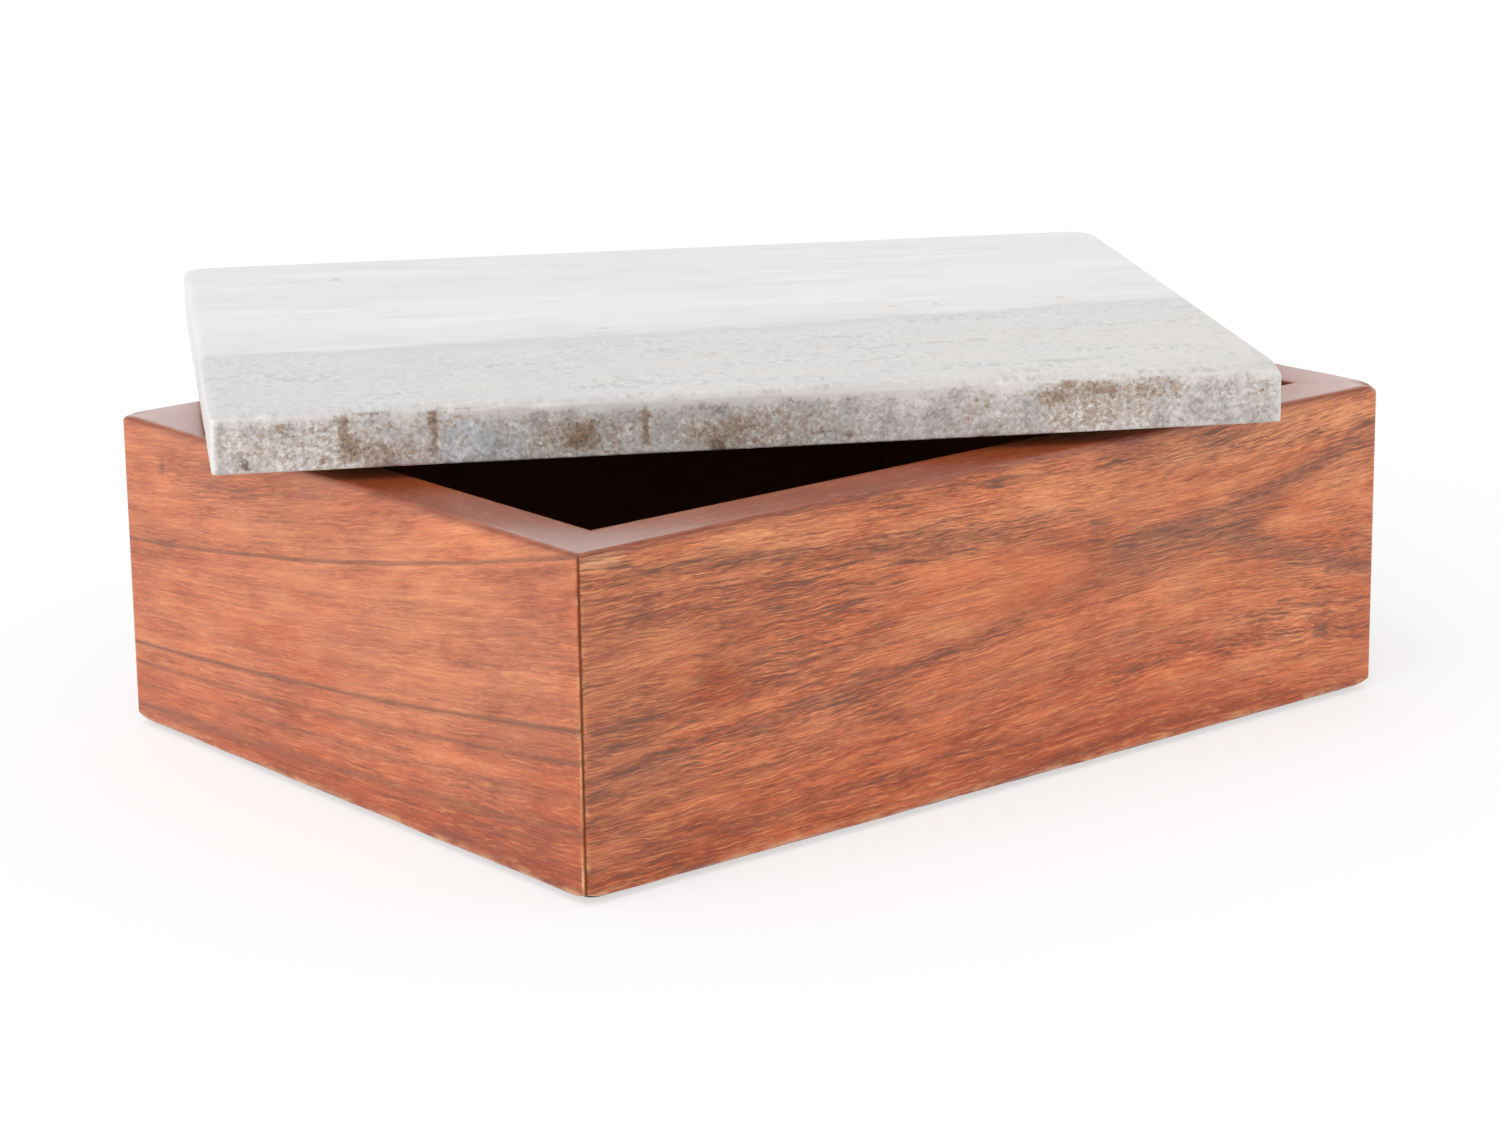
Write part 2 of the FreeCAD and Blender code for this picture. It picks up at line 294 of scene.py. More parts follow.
def make_piece(name, points, faces, layers, body, node):
    """A mesh from points in millimetres, with one attribute per layer, riding in place of its node."""
    mesh = bpy.data.meshes.new(name)
    mesh.from_pydata((points * MM).tolist(), [], faces)
    for label, values in layers.items():
        layer = mesh.attributes.new(label, "FLOAT_VECTOR", "POINT")
        layer.data.foreach_set("vector", values.astype(np.float32).ravel())
    mesh.shade_smooth()
    mesh.set_sharp_from_angle(angle=SHARP_ANGLE)
    piece = bpy.data.objects.new(name, mesh)
    bpy.context.scene.collection.objects.link(piece)
    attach(piece, body)
    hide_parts(node)
    mesh.calc_loop_triangles()
    corners = np.empty(len(mesh.loop_triangles) * 3, np.int32)
    mesh.loop_triangles.foreach_get("vertices", corners)
    a, b, c = points[corners.reshape(-1, 3)].transpose(1, 0, 2)
    volume = np.einsum("ij,ij->i", a, np.cross(b, c)).sum() / 6
    print(f"{name}: {len(points)} points, {len(corners) // 3} triangles, {volume / 1000:.1f} cm3")
    return piece


print("ready to make surfaces")

# %% [markdown]
# ## The walls' section
# A wall is a board on edge: its section is an upright rectangle with eased edges and a groove near
# the foot that holds the bottom. A box with a bevel would do, but then every edge would be equally
# round. Here the section is a loop of points whose edge rounds swell and shrink along the wall, as
# sandpaper leaves them, and whose outer face has a slow wave of a few hundredths of a millimetre.

# %% Section of a wall
CORNER_ROUND = 1.5
RIM_ROUND = 1.2
RIM_INNER_ROUND = 0.6
FOOT_ROUND = 1.2
GROOVE_FOOT = 4.0
GROOVE_HEIGHT = 4.2
GROOVE_DEPTH = 5.0
SANDING = 0.5
SANDING_FADE = 12.0
RIM_WAVELENGTH = 34.0
FOOT_WAVELENGTH = 41.0
FACE_WAVE = 0.045
FACE_WAVELENGTHS = (60.0, 38.0)
FACE_SLANT = 0.2
FACE_STEP = 1.3
HIDDEN_STEP = 2.6
ROUND_STEPS = 6


def quarter(steps):
    """The sine and cosine of a quarter turn in equal steps, without its last point."""
    angle = np.linspace(0, np.pi / 2, steps, endpoint=False)
    return np.sin(angle), np.cos(angle)


def shares(length, step):
    """Even shares of a length, about a step apart, from 0 to just before 1."""
    return np.linspace(0, 1, math.ceil(length / step))[:-1]


def wall_section(seed, along):
    """Depth from the outer face and height above the foot of every point of the section, for each
    place along the wall. The loop climbs the outer face, crosses the rim, goes down the inner face,
    in and out of the groove, and back under the foot. A round is a centre plus a radius times the
    sine and cosine of a quarter turn."""
    beside = along[:, None]
    settled = 1 - bell((np.abs(along).max() - np.abs(beside)) / SANDING_FADE)
    rim = RIM_ROUND * (1 + SANDING * settled * slow_waves(seed, beside, RIM_WAVELENGTH))
    foot = FOOT_ROUND * (1 + SANDING * settled * slow_waves(seed + 1, beside, FOOT_WAVELENGTH))
    inner = np.full_like(rim, RIM_INNER_ROUND)
    even = np.ones_like(rim)
    sine, cosine = quarter(ROUND_STEPS)
    climb, across = shares(WALL_HEIGHT, FACE_STEP), shares(WALL, FACE_STEP)
    descent, under = shares(WALL_HEIGHT, HIDDEN_STEP), shares(WALL, HIDDEN_STEP)
    top = WALL_HEIGHT
    groove_top = GROOVE_FOOT + GROOVE_HEIGHT
    back = WALL - GROOVE_DEPTH
    stretches = [
        (foot - foot * sine, foot - foot * cosine),
        (0 * even * climb, foot + (top - rim - foot) * climb),
        (rim - rim * cosine, top - rim + rim * sine),
        (rim + (WALL - inner - rim) * across, top * even + 0 * across),
        (WALL - inner + inner * sine, top - inner + inner * cosine),
        (WALL * even + 0 * descent, top - inner + (groove_top - top + inner) * descent),
        (even * [WALL, back, back, WALL], even * [groove_top, groove_top, GROOVE_FOOT, GROOVE_FOOT]),
        (WALL * even + (foot - WALL) * under, 0 * even * under),
    ]
    depth = np.hstack([stretch[0] for stretch in stretches])
    height = np.hstack([stretch[1] for stretch in stretches])
    wave = slow_waves(seed + 2, beside, FACE_WAVELENGTHS[0])
    wave = wave + slow_waves(seed + 3, height + FACE_SLANT * beside, FACE_WAVELENGTHS[1])
    return depth + FACE_WAVE * bell(depth / RIM_ROUND) * settled * wave, height


print("a section has", wall_section(1, np.linspace(-1, 1, 3))[0].shape[1], "points")

# %% [markdown]
# ## Carrying the section along a wall
# At each end the wall is cut at 45 degrees, and its outer edge turns half of the box's corner round
# before it meets its neighbour. So the section is carried along a path that is straight and then
# bends through an eighth of a turn. A point deeper in the wall follows a tighter bend, and one deeper
# than the round just runs on until it meets the cut. The joint is a hair lower than the faces beside
# it. The corners at the foot are knocked off and the upper ones are eased, each by its own amount.

# %% Ends of a wall
JOINT_DIP = 0.10
JOINT_REACH = 0.35
RIM_DIP = 0.25
KNOCK = 0.9
KNOCK_REACH = 2.2


def carry_along(run, share, depth):
    """Place along the wall, depth from its face and distance from the mitre, for points at a share from
    -1 to 1 of their path. A path is straight for half the run less the deeper of the point and the
    corner round, and then follows an arc of the round less the depth, through 45 degrees."""
    arc = np.maximum(CORNER_ROUND - depth, 0)
    straight = run / 2 - np.maximum(CORNER_ROUND, depth)
    path = straight + arc * np.pi / 4
    travelled = np.abs(share) * path
    bent = np.maximum(travelled - straight, 0)
    angle = np.divide(bent, arc, out=np.zeros_like(arc), where=arc > 0)
    along = np.sign(share) * (np.minimum(travelled, straight) + arc * np.sin(angle))
    return along, depth + arc * (1 - np.cos(angle)), path - travelled


def worn_ends(along, depth, height, to_mitre, eased):
    """Depth and height with the joint's dip, the foot's knocked corners and the upper corners' own drop
    at the left and the right end: bell curves of the distances from the mitre, the face and the foot
    or the rim."""
    dip = JOINT_DIP * bell(to_mitre / JOINT_REACH)
    on_rim = RIM_DIP * (height > WALL_HEIGHT - RIM_INNER_ROUND / 2)
    corner = bell(to_mitre / KNOCK_REACH, depth / KNOCK_REACH)
    knocked = KNOCK * corner * bell(height / KNOCK_REACH)
    drop = np.where(along < 0, *eased) * corner * bell((height - WALL_HEIGHT) / KNOCK_REACH)
    return depth + dip * bell(depth / RIM_ROUND), height - dip * on_rim + knocked - drop


print("a joint is", JOINT_DIP, "mm low")

# %% [markdown]
# ## Closing the cut ends
# Each cut end has a slot for the loose tongue that is glued across the joint. A boolean could cut it;
# here the end is two polygons that meet along the slot's line, so no sliver is left beside it.

# %% Walls as surfaces
PATH_STEP = 1.3
PATH_FINE = 0.2
PATH_REACH = 2.6
TONGUE_PLACE = 0.6 * WALL
TONGUE_HALF = 0.1 * WALL
TONGUE_DEPTH = 0.4 * WALL
TONGUE_COVER = 8.0
LEVEL_WEIGHT = 10


def slot_mouth():
    """Depth and height of the four corners at which a tongue's slot opens in the mitre."""
    foot = GROOVE_FOOT + GROOVE_HEIGHT + TONGUE_COVER
    top = WALL_HEIGHT - TONGUE_COVER
    near, far = TONGUE_PLACE + TONGUE_HALF * np.array([-1, 1]) / math.sqrt(2)
    return np.array([[near, foot], [far, foot], [far, top], [near, top]])


def slotted_end(loop, split, slot):
    """The faces of a cut end: two polygons round the slot's mouth, the slot's four sides and its floor.
    loop holds the section's point numbers, split the two of them that the slot's line meets on the
    rim and the foot, and slot the numbers of its mouth's corners and then of its floor's."""
    rim_at, foot_at = split
    mouth, deep = slot[:4], slot[4:]
    turned = np.roll(loop, -rim_at)
    foot_at = (foot_at - rim_at) % len(loop)
    inner = [*turned[:foot_at + 1], *mouth]
    outer = [*turned[foot_at:], turned[0], mouth[3], mouth[0]]
    sides = [[mouth[k], deep[k], deep[(k + 1) % 4], mouth[(k + 1) % 4]] for k in range(4)]
    return [inner, outer] + sides + [list(deep[::-1])]


def make_wall_surface(seed, run, eased):
    """Points (along, depth, height), faces, and each point's distance from the nearest mitre."""
    start = places(-run / 2, run / 2, PATH_STEP, PATH_FINE, PATH_REACH)
    depth, height = wall_section(seed, start)
    along, depth, to_mitre = carry_along(run, start[:, None] / (run / 2), depth)
    solid = np.stack([along, *worn_ends(along, depth, height, to_mitre, eased)], axis=-1)
    solid[[0, -1], :, 0] = np.array([[-1], [1]]) * (run / 2 - solid[[0, -1], :, 1])
    rows, columns = depth.shape
    faces = grid_quads(rows, columns).tolist()

    off_line = np.abs(depth[0] - TONGUE_PLACE)
    split = [int(np.argmin(off_line + LEVEL_WEIGHT * np.abs(height[0] - level)))
             for level in (WALL_HEIGHT, 0)]
    mouth = slot_mouth()
    points = [solid.reshape(-1, 3)]
    for row, side in ((0, -1), (rows - 1, 1)):
        corners = np.stack([side * (run / 2 - mouth[:, 0]), mouth[:, 0], mouth[:, 1]], axis=-1)
        inwards = TONGUE_DEPTH / math.sqrt(2) * np.array([-side, -1, 0])
        first = sum(len(block) for block in points)
        points += [corners, corners + inwards]
        loop = np.arange(row * columns, (row + 1) * columns)
        end = slotted_end(loop, split, np.arange(first, first + 8))
        faces += end if side < 0 else [face[::-1] for face in end]
    points = np.vstack(points)
    distance = np.concatenate([to_mitre.ravel(), np.zeros(len(points) - rows * columns)])
    return points, faces, distance


print("a short wall has", len(make_wall_surface(1, BOX_WIDTH, (0, 0))[0]), "points")

# %% [markdown]
# ## The figure of the wood
# A board shows where the saw met the growth rings. In the long walls the rings lie almost flat under
# the face, so they run out in long tongues; the face is a cut through tubes round a leaning pith, and
# where that pith is deepest two tongues meet tip to tip. In the short walls the rings cross the board
# at a slant and show as lines that rise towards one end. An image could be pasted on, but a formula
# for the distance from the pith makes the rim and the inside carry on the same rings.

# %% Ring fields
DRAWN_REACH = (100.0, 55.0)
FIBRE_SPREAD = 28.0
KNOT_STRETCH = 1.5
KNOT_RINGS = 2.2
KNOT_PARTING = 0.5


def tongue_figure(solid, saddle, pith_height, deepest, bows, powers, pinch, knots):
    """Ring distance and place across the fibres for a board sawn flat. The pith lies deepest at the
    saddle and rises towards the face by bow times a power of the distance from it, with its own bow
    and power to the left and to the right. A ring is the distance from the pith: the root of the
    squares of (height - pith height) and (pith depth - depth). The fibres are drawn together towards
    the saddle by one plus a bell curve, and part round a knot, which adds rings of its own."""
    along, depth, height = solid.T
    offset = along - saddle
    left = offset < 0
    rise = height - pith_height
    lifted = np.where(left, *bows) * np.abs(offset) ** np.where(left, *powers)
    ring = np.hypot(rise, deepest - lifted - depth)
    drawn = 1 + pinch * bell(offset / np.where(left, *DRAWN_REACH), rise / FIBRE_SPREAD)
    across = pith_height + rise * drawn
    for knot_along, knot_height, size in knots:
        away = np.hypot((along - knot_along) / KNOT_STRETCH, height - knot_height) / size
        ring = ring + KNOT_RINGS * size * bell(away)
        across = across + np.sign(height - knot_height) * KNOT_PARTING * size * bell(away)
    return ring, across


def slant_figure(solid, lean, bend, gather, level, slope):
    """Ring distance and place across the fibres for a board sawn on the slant. A line that starts p
    below the rim at the left end climbs by lean t + bend t squared, t being the share of the run, less
    gather per millimetre that it starts below the level; solved for p, which is the place across the
    fibres, and the ring is p plus slope times the depth."""
    along, depth, height = solid.T
    share = along / BOX_WIDTH + 0.5
    climb = lean * share + bend * share ** 2
    start = (WALL_HEIGHT - height + climb * (1 + gather * level)) / (1 + gather * climb)
    return start + slope * depth, start


print("two ways to saw a board: flat and on the slant")

# %% [markdown]
# ## The four boards
# The photograph shows two walls closely enough to place their larger marks; the other two get
# marks of the same kinds. Each row of a table is one mark. A line has its ring distance, its soft width
# inside and outside, and its darkness. A patch has its place along the face, its height, its reach
# along and up, and how much lighter and redder the wood is there. A lively area has the same four, and
# how far the dark strokes crowd there, or thin out below 0. A smear of dark wood, or a pale rub, has
# them too, and then the slope that it follows and its strength. A rub is lacquer worn off, except the
# thin strip down the front wall's right end, which is a painted highlight. The strengths of the figure
# say how ragged the rings are, how solid the lines, how strong each kind of streak is, how far the
# fibres curl in millimetres, and how dark the mauve band under the rim's arris is.

# %% Boards
FLAT_SAWN = {
    "ragged": 4.5, "solid": 0.48, "bands": 0.80, "streaks": 0.85, "fibres": 1.20,
    "strokes": 0.75, "gleams": 0.55, "curl": 2.6, "hairs": 0.90, "bead": 0.65,
}
SLANT_SAWN = {
    "ragged": 0.8, "solid": 0.90, "bands": 0.65, "streaks": 0.50, "fibres": 0.65,
    "strokes": 0.35, "gleams": 0.35, "curl": 1.6, "hairs": 0.40, "bead": 0.60,
}
BOARDS = {
    "front_wall": {
        "run": BOX_LENGTH, "turn": 0, "seed": 11, "eased": (0.1, 1.3),
        "sawn": tongue_figure,
        "figure": {"saddle": 57.5, "pith_height": 49.0, "deepest": 26.2, "bows": (0.0124, 1.84e-3),
                   "powers": (1.35, 2.0), "pinch": 0.5, "knots": [(105.8, 18.0, 3.2)]},
        "lines": [
            (9.5, 1.5, 2.5, 0.25), (16.5, 1.2, 2.5, 0.35), (21.0, 1.0, 2.0, 0.25),
            (25.2, 0.8, 2.4, 0.60), (33.5, 1.0, 3.0, 0.30), (38.5, 1.0, 2.5, 0.35),
            (44.0, 1.5, 3.0, 0.35),
        ],
        "patches": [
            (-86.7, 41.7, 7, 4.5, -0.20, 0.8), (105.8, 18.0, 3.0, 2.2, -0.40, 0.1),
            (8, 65, 45, 8, 0.10, -0.1), (-8, 50, 30, 6, 0.06, 0.25), (98, 48, 16, 8, 0.14, 0.15),
            (80, 72, 48, 6, 0.18, -0.50), (85, 19, 28, 8, 0.16, -0.05),
            (-112, 25, 18, 18, -0.14, -0.30), (-116, 56, 16, 15, -0.12, -0.55),
            # The long low patch at height 2 makes the wall darker and redder towards its foot.
            (10, 2, 170, 11, -0.22, 0.60), (58, 51, 17, 5, -0.06, -0.40), (20, 20, 70, 12, 0.0, 0.35),
            (-75, 71, 24, 6, 0.14, -0.50), (37.5, 69, 11, 8, -0.18, -0.10),
            (114, 56, 11, 6, 0.24, -0.10), (16, 48, 14, 7, 0.14, 0.25), (-37, 50, 15, 10, -0.07, 0),
            (-65, 6, 24, 5, 0.10, 0.1), (75, 6, 32, 5, 0.08, 0.1), (114, 70, 12, 6, 0.15, -0.3),
            (-84, 74, 16, 4, 0.15, -0.3), (90, 16, 14, 5, 0.08, -0.2),
        ],
        "lively": [
            (-40, 62, 46, 5, 0.45), (-58, 52, 13, 14, 0.50), (-108, 38, 18, 26, 0.05),
            (-70, 30, 40, 4, 0.40), (85, 69, 32, 6, 0.50), (108, 38, 14, 8, 0.30),
            (95, 22, 22, 8, 0.45), (60, 51, 24, 4, 0.40), (5, 48, 30, 8, -0.60),
            (98, 49, 14, 5, -0.50), (0, 24, 60, 8, -0.25), (40, 8, 80, 8, -0.40),
            (-95, 50, 14, 6, -0.30), (-10, 71, 20, 5, 0.20), (-119, 73, 9, 5, 0.80),
        ],
        "smears": [
            (-86.7, 70.8, 6, 1.3, -0.02, 0.95), (-78, 68.8, 22, 1.4, -0.13, 0.55),
            (-41.7, 62.8, 13, 1.4, -0.16, 0.60), (-20.8, 59.2, 12, 1.3, -0.09, 0.65),
            (-21.3, 66.5, 10, 1.3, -0.03, 0.50), (-10, 62.2, 13, 1.4, -0.02, 0.55),
            (-116.7, 37.3, 5, 1.2, -0.02, 0.85), (-119, 33.3, 5, 1.6, 0.10, 0.90),
            (-101.5, 26.5, 9, 1.3, 0.03, 0.70), (-74, 29.2, 9, 1.3, 0.16, 0.80),
            (-61.7, 32, 4, 1.2, 0.02, 0.80), (-45.8, 35.3, 7, 1.3, 0.15, 0.80),
            (-121, 23.2, 4, 1.4, 0.05, 0.85), (-88.3, 48.3, 5, 1.2, -0.03, 0.55),
            (28.7, 57.7, 3.5, 2.2, -0.30, 0.85), (13.3, 62.2, 13, 1.8, -0.08, 0.50),
            (55, 52.5, 13, 2.2, 0.02, 1.00), (80.8, 55.7, 10, 1.8, 0.19, 0.75),
            (94.5, 58.8, 8, 1.8, 0.20, 0.95), (112.5, 62.5, 13, 1.6, 0.20, 0.75),
            (79.2, 44.6, 8, 2.2, -0.35, 0.85), (95.8, 39, 9, 1.5, -0.30, 0.60),
            (115, 33, 9, 2.2, -0.20, 0.65), (37.5, 49.8, 4.5, 1.8, 0.0, 0.70),
            (57.5, 35.5, 4, 1.2, 0.05, 0.55), (38.3, 29.5, 6, 1.3, 0.10, 0.55),
            (107.9, 26.2, 5, 1.4, -0.05, 0.60), (36.7, 74.2, 10, 1.5, 0.0, 0.55),
            (61.7, 73.3, 5, 1.3, 0.0, 0.65), (99, 68.7, 5, 1.3, 0.05, 0.45),
            (105.8, 18.0, 2.4, 1.9, 0, 1.0),
        ],
        # The second rub, a thin pale strip down the right end, is a painted highlight on that edge.
        "rubs_and_highlights": [(-119, 75.0, 7.0, 2.6, 0, 0.8), (124.4, 40, 0.6, 36, 0, 0.9)],
        **FLAT_SAWN,
    },
    "right_wall": {
        "run": BOX_WIDTH, "turn": 90, "seed": 23, "eased": (1.3, 0.5),
        "sawn": slant_figure,
        "figure": {"lean": -10.0, "bend": -7.0, "gather": 0.008, "level": 30.0, "slope": -0.7},
        "lines": [(22.0, 0.8, 1.2, 0.6), (47.0, 0.7, 1.0, 0.7), (61.0, 1.2, 2.0, 0.4)],
        "patches": [
            # The long low patch at height 2 makes the wall darker and redder towards its foot.
            (-30, 40, 40, 14, 0.12, 0), (60, 20, 20, 10, -0.15, 0.4), (0, 2, 120, 10, -0.18, 0.3),
        ],
        "lively": [(-20, 60, 30, 8, 0.4), (50, 30, 30, 10, -0.4)],
        "smears": [
            (30, 52, 12, 1.5, -0.10, 0.5), (-50, 33, 9, 1.4, -0.06, 0.6),
            (70, 60, 8, 1.3, -0.08, 0.5),
        ],
        "rubs_and_highlights": [(-91, 60, 1.0, 14, 0, 0.5)],
        **SLANT_SAWN, "ragged": 1.0, "solid": 0.88, "bands": 0.60, "strokes": 0.38, "gleams": 0.40,
    },
    "back_wall": {
        "run": BOX_LENGTH, "turn": 180, "seed": 37, "eased": (0.5, 0.6),
        "sawn": tongue_figure,
        "figure": {"saddle": -38.0, "pith_height": 34.0, "deepest": 24.0, "bows": (1.3e-3, 0.0110),
                   "powers": (2.0, 1.35), "pinch": 0.5, "knots": [(-92.0, 55.0, 2.6)]},
        "lines": [
            (10.5, 1.5, 2.5, 0.3), (18.0, 1.4, 2.5, 0.35), (23.2, 0.8, 2.4, 0.60),
            (31.0, 1.1, 2.5, 0.35), (38.0, 1.6, 3.0, 0.35),
        ],
        "patches": [
            (40, 40, 40, 12, 0.12, 0.1), (-92, 55, 3, 2, -0.3, 0.2), (90, 14, 26, 9, -0.14, 0.3),
            # The long low patch at height 2 makes the wall darker and redder towards its foot.
            (0, 2, 160, 10, -0.18, 0.4), (-38, 35, 14, 7, -0.10, -0.3),
        ],
        "lively": [
            (30, 48, 40, 5, 0.45), (70, 30, 16, 16, 0.5), (-90, 60, 26, 8, 0.45),
            (0, 34, 28, 8, -0.6), (-30, 10, 70, 8, -0.4),
        ],
        "smears": [
            (-40, 37, 12, 2.2, 0.02, 0.95), (-66, 43, 10, 1.8, -0.22, 0.75),
            (-62, 24, 10, 1.8, 0.28, 0.7), (-98, 52, 12, 1.6, -0.2, 0.6),
            (20, 47, 14, 1.4, 0.12, 0.65), (34, 21, 12, 1.4, -0.14, 0.7),
            (78, 56, 14, 1.4, 0.10, 0.6), (92, 12, 9, 1.3, -0.10, 0.8), (110, 40, 6, 1.4, 0.05, 0.7),
            (-10, 66, 12, 1.3, 0.04, 0.5),
        ],
        "rubs_and_highlights": [(120, 4, 5, 2.4, 0, 0.7)],
        **FLAT_SAWN,
    },
    "left_wall": {
        "run": BOX_WIDTH, "turn": 270, "seed": 41, "eased": (0.6, 0.1),
        "sawn": slant_figure,
        "figure": {"lean": 15.8, "bend": 15.0, "gather": 0.0154, "level": 31.2, "slope": 0.6},
        "lines": [
            (31.2, 0.7, 0.7, 0.85), (57.5, 0.7, 0.8, 0.95), (62.5, 0.7, 0.9, 0.52),
            (68.0, 1.2, 1.8, 0.30), (73.5, 1.6, 2.2, 0.45),
        ],
        "patches": [
            (82, 18, 14, 13, -0.17, 0.40), (-74.5, 67.2, 0.9, 1.6, -0.5, 0.1),
            (43, 47.2, 2.6, 1.7, -0.20, 0.1), (56, 44.8, 12, 1.3, -0.14, 0.1),
            (40, 55, 40, 15, 0.07, -0.45), (-60, 70, 26, 7, -0.05, -0.1),
            # The three long patches below make the wall darker and redder towards its foot, and lighter
            # and less red higher up.
            (10, 2, 120, 11, -0.18, 0.45), (0, 74, 120, 7, 0.04, -0.3), (0, 55, 120, 10, 0.05, -0.1),
            # The widest patch below, 300 along and 120 up, darkens the whole wall a little: painted
            # shade that tempers the key light on this side.
            (-76, 23, 18, 8, -0.13, 0), (65, 5, 50, 8, -0.06, 0.1), (0, 40, 300, 120, -0.04, -0.05),
            (-55, 57, 40, 9, 0.08, -0.2), (52, 38, 24, 7, 0.12, -0.2), (30, 4, 40, 6, -0.06, 0.1),
            (45, 40, 42, 17, 0.02, -0.40),
        ],
        "lively": [
            (-40, 66, 40, 6, 0.3), (60, 12, 30, 10, 0.3), (0, 35, 60, 10, -0.4),
            (30, 58, 40, 8, -0.3),
        ],
        "smears": [
            (-48, 66.8, 14, 1.3, 0.07, 0.45), (66, 18.5, 10, 1.2, 0.12, 0.55),
            (72, 9, 16, 1.3, 0.05, 0.4), (-62, 5.5, 22, 1.4, 0.02, 0.4),
            (-74.5, 67.2, 0.9, 1.2, 0, 0.8),
        ],
        "rubs_and_highlights": [(91.7, 28, 0.35, 15, 0, 1.0), (91.6, 5, 0.45, 8, 0, 1.0)],
        **SLANT_SAWN,
    },
}
print("boards:", ", ".join(BOARDS))

# %% [markdown]
# ## Marks on the walls
# Besides its shape, a wall carries what its finish needs to know at each point: where it is in the
# grain, which ring it is in, patches that make the wood lighter, darker or redder, one of them painted
# shade, lively areas, smears, how far lacquer is worn thin on the edges and by use, where thin pale
# lines are painted as highlights on the rim's arris and down one upright corner, where the glue line
# of the mitre is, where a dark mauve band runs just under the rim's arris, where lacquer gathered
# thickly on the rim near the corners, and where the inside begins, which is painted dark brown as
# painted shade. The values travel three by three in vector layers.

# %% Marks
BOARD_LAYERS = {
    "grain": ("along", "across", "depth"),
    "areas": ("lively", "rim", "ring"),
    "marks": ("tone", "red", "smear"),
    "edges": ("wear", "joint", "bead"),
    "coat": ("gloss", "stain", "rubbed"),
}
WEAR_REACH = 0.9
JOINT_LINE = 0.42
JOINT_HIDDEN = 0.85
ARRIS_BAND_DROP = 0.65
ARRIS_BAND_DEPTH = 0.2
ARRIS_BAND_REACH = 0.75
ARRIS = 0.35
ARRIS_REACH = 0.3
# How strong the painted highlight along the rim's arris is.
ARRIS_HIGHLIGHT = 0.15
THIN_COAT = 0.15
GATHER_REACH = 48.0
GATHER_DEPTH = 2.5
# The rim is darker and redder than the faces: partly the wood's own tone under the lacquer, partly
# painted shade.
RIM_TONE_AND_SHADE = -0.36
RIM_RED = 0.30
INSIDE_SHADE_EDGE = 0.5


def pack_layers(values):
    """The values three by three under the names of their layers, with zeros for those not given."""
    nothing = np.zeros(len(values["along"]))
    return {label: np.stack([values.get(name, nothing) for name in names], axis=-1)
            for label, names in BOARD_LAYERS.items()}


def paint_patches(solid, patches):
    """The sum of bell-shaped patches on the outer face, for each amount that a patch ends with."""
    along, height = solid[:, 0], solid[:, 2]
    return sum(np.outer(amounts, bell((along - at) / reach, (height - up) / rise))
               for at, up, reach, rise, *amounts in patches)


def lay_smears(solid, smears):
    """Smears along the grain: flat-crowned bells, each on its own slanting line of the face."""
    along, depth, height = solid.T
    smear = np.zeros(len(solid))
    for at, up, reach, rise, slope, strength in smears:
        beside = along - at
        crown = bell((beside / reach) ** 2, (height - up - slope * beside) / rise)
        smear = np.maximum(smear, strength * crown)
    return smear * bell(depth / RIM_ROUND)


def rim_share(depth, height):
    """1 on the flat of the rim and 0 on the face: the share of the rim's round that lies below."""
    climbed = slope_up(height, WALL_HEIGHT - RIM_ROUND, RIM_ROUND)
    return climbed * slope_up(depth, 0, RIM_ROUND) ** 0.5


def gathered_lacquer(depth, to_mitre):
    """How thick the lacquer lies on the rim: a thin coat, plus a bell curve of the distance from the
    outer corner, where it gathers as it dries."""
    away = to_mitre + GATHER_DEPTH * depth
    return THIN_COAT + (1 - THIN_COAT) * bell(away / GATHER_REACH)


def edge_marks(depth, height, to_mitre):
    """Wear is a bell curve of the distance from the foot's edge and the upright corners, plus a faint
    pale line, a painted highlight, that is one of the distance from the rim's arris. The joint is one
    of the distance from the mitre, mostly hidden on the rim, and the dark mauve band one of the
    distance from a line over the arris."""
    corner = np.hypot(depth, to_mitre)
    foot = np.hypot(depth, np.maximum(height - FOOT_ROUND / 2, 0))
    arris = np.hypot(depth - ARRIS, WALL_HEIGHT - height - ARRIS)
    wear = bell(np.minimum(corner, foot) / WEAR_REACH)
    # A faint pale line along the rim's arris is a painted highlight, added to the wear.
    wear = np.maximum(wear, ARRIS_HIGHLIGHT * bell(arris / ARRIS_REACH))
    joint = bell(to_mitre / JOINT_LINE) * (1 - JOINT_HIDDEN * rim_share(depth, height))
    # A dark mauve band just under the rim's arris.
    drop = WALL_HEIGHT - height - ARRIS_BAND_DROP
    bead = bell(drop / ARRIS_BAND_REACH, (depth - ARRIS_BAND_DEPTH) / ARRIS_BAND_REACH)
    return wear, joint, bead


print("layers on a board:", ", ".join(BOARD_LAYERS))

# %% [markdown]
# ## Building the walls
# Each wall is made in its own coordinates, along, into and up the board, and only then set in the
# frame. So one recipe serves all four, and the marks can be placed as if each face were a page.

# %% Walls


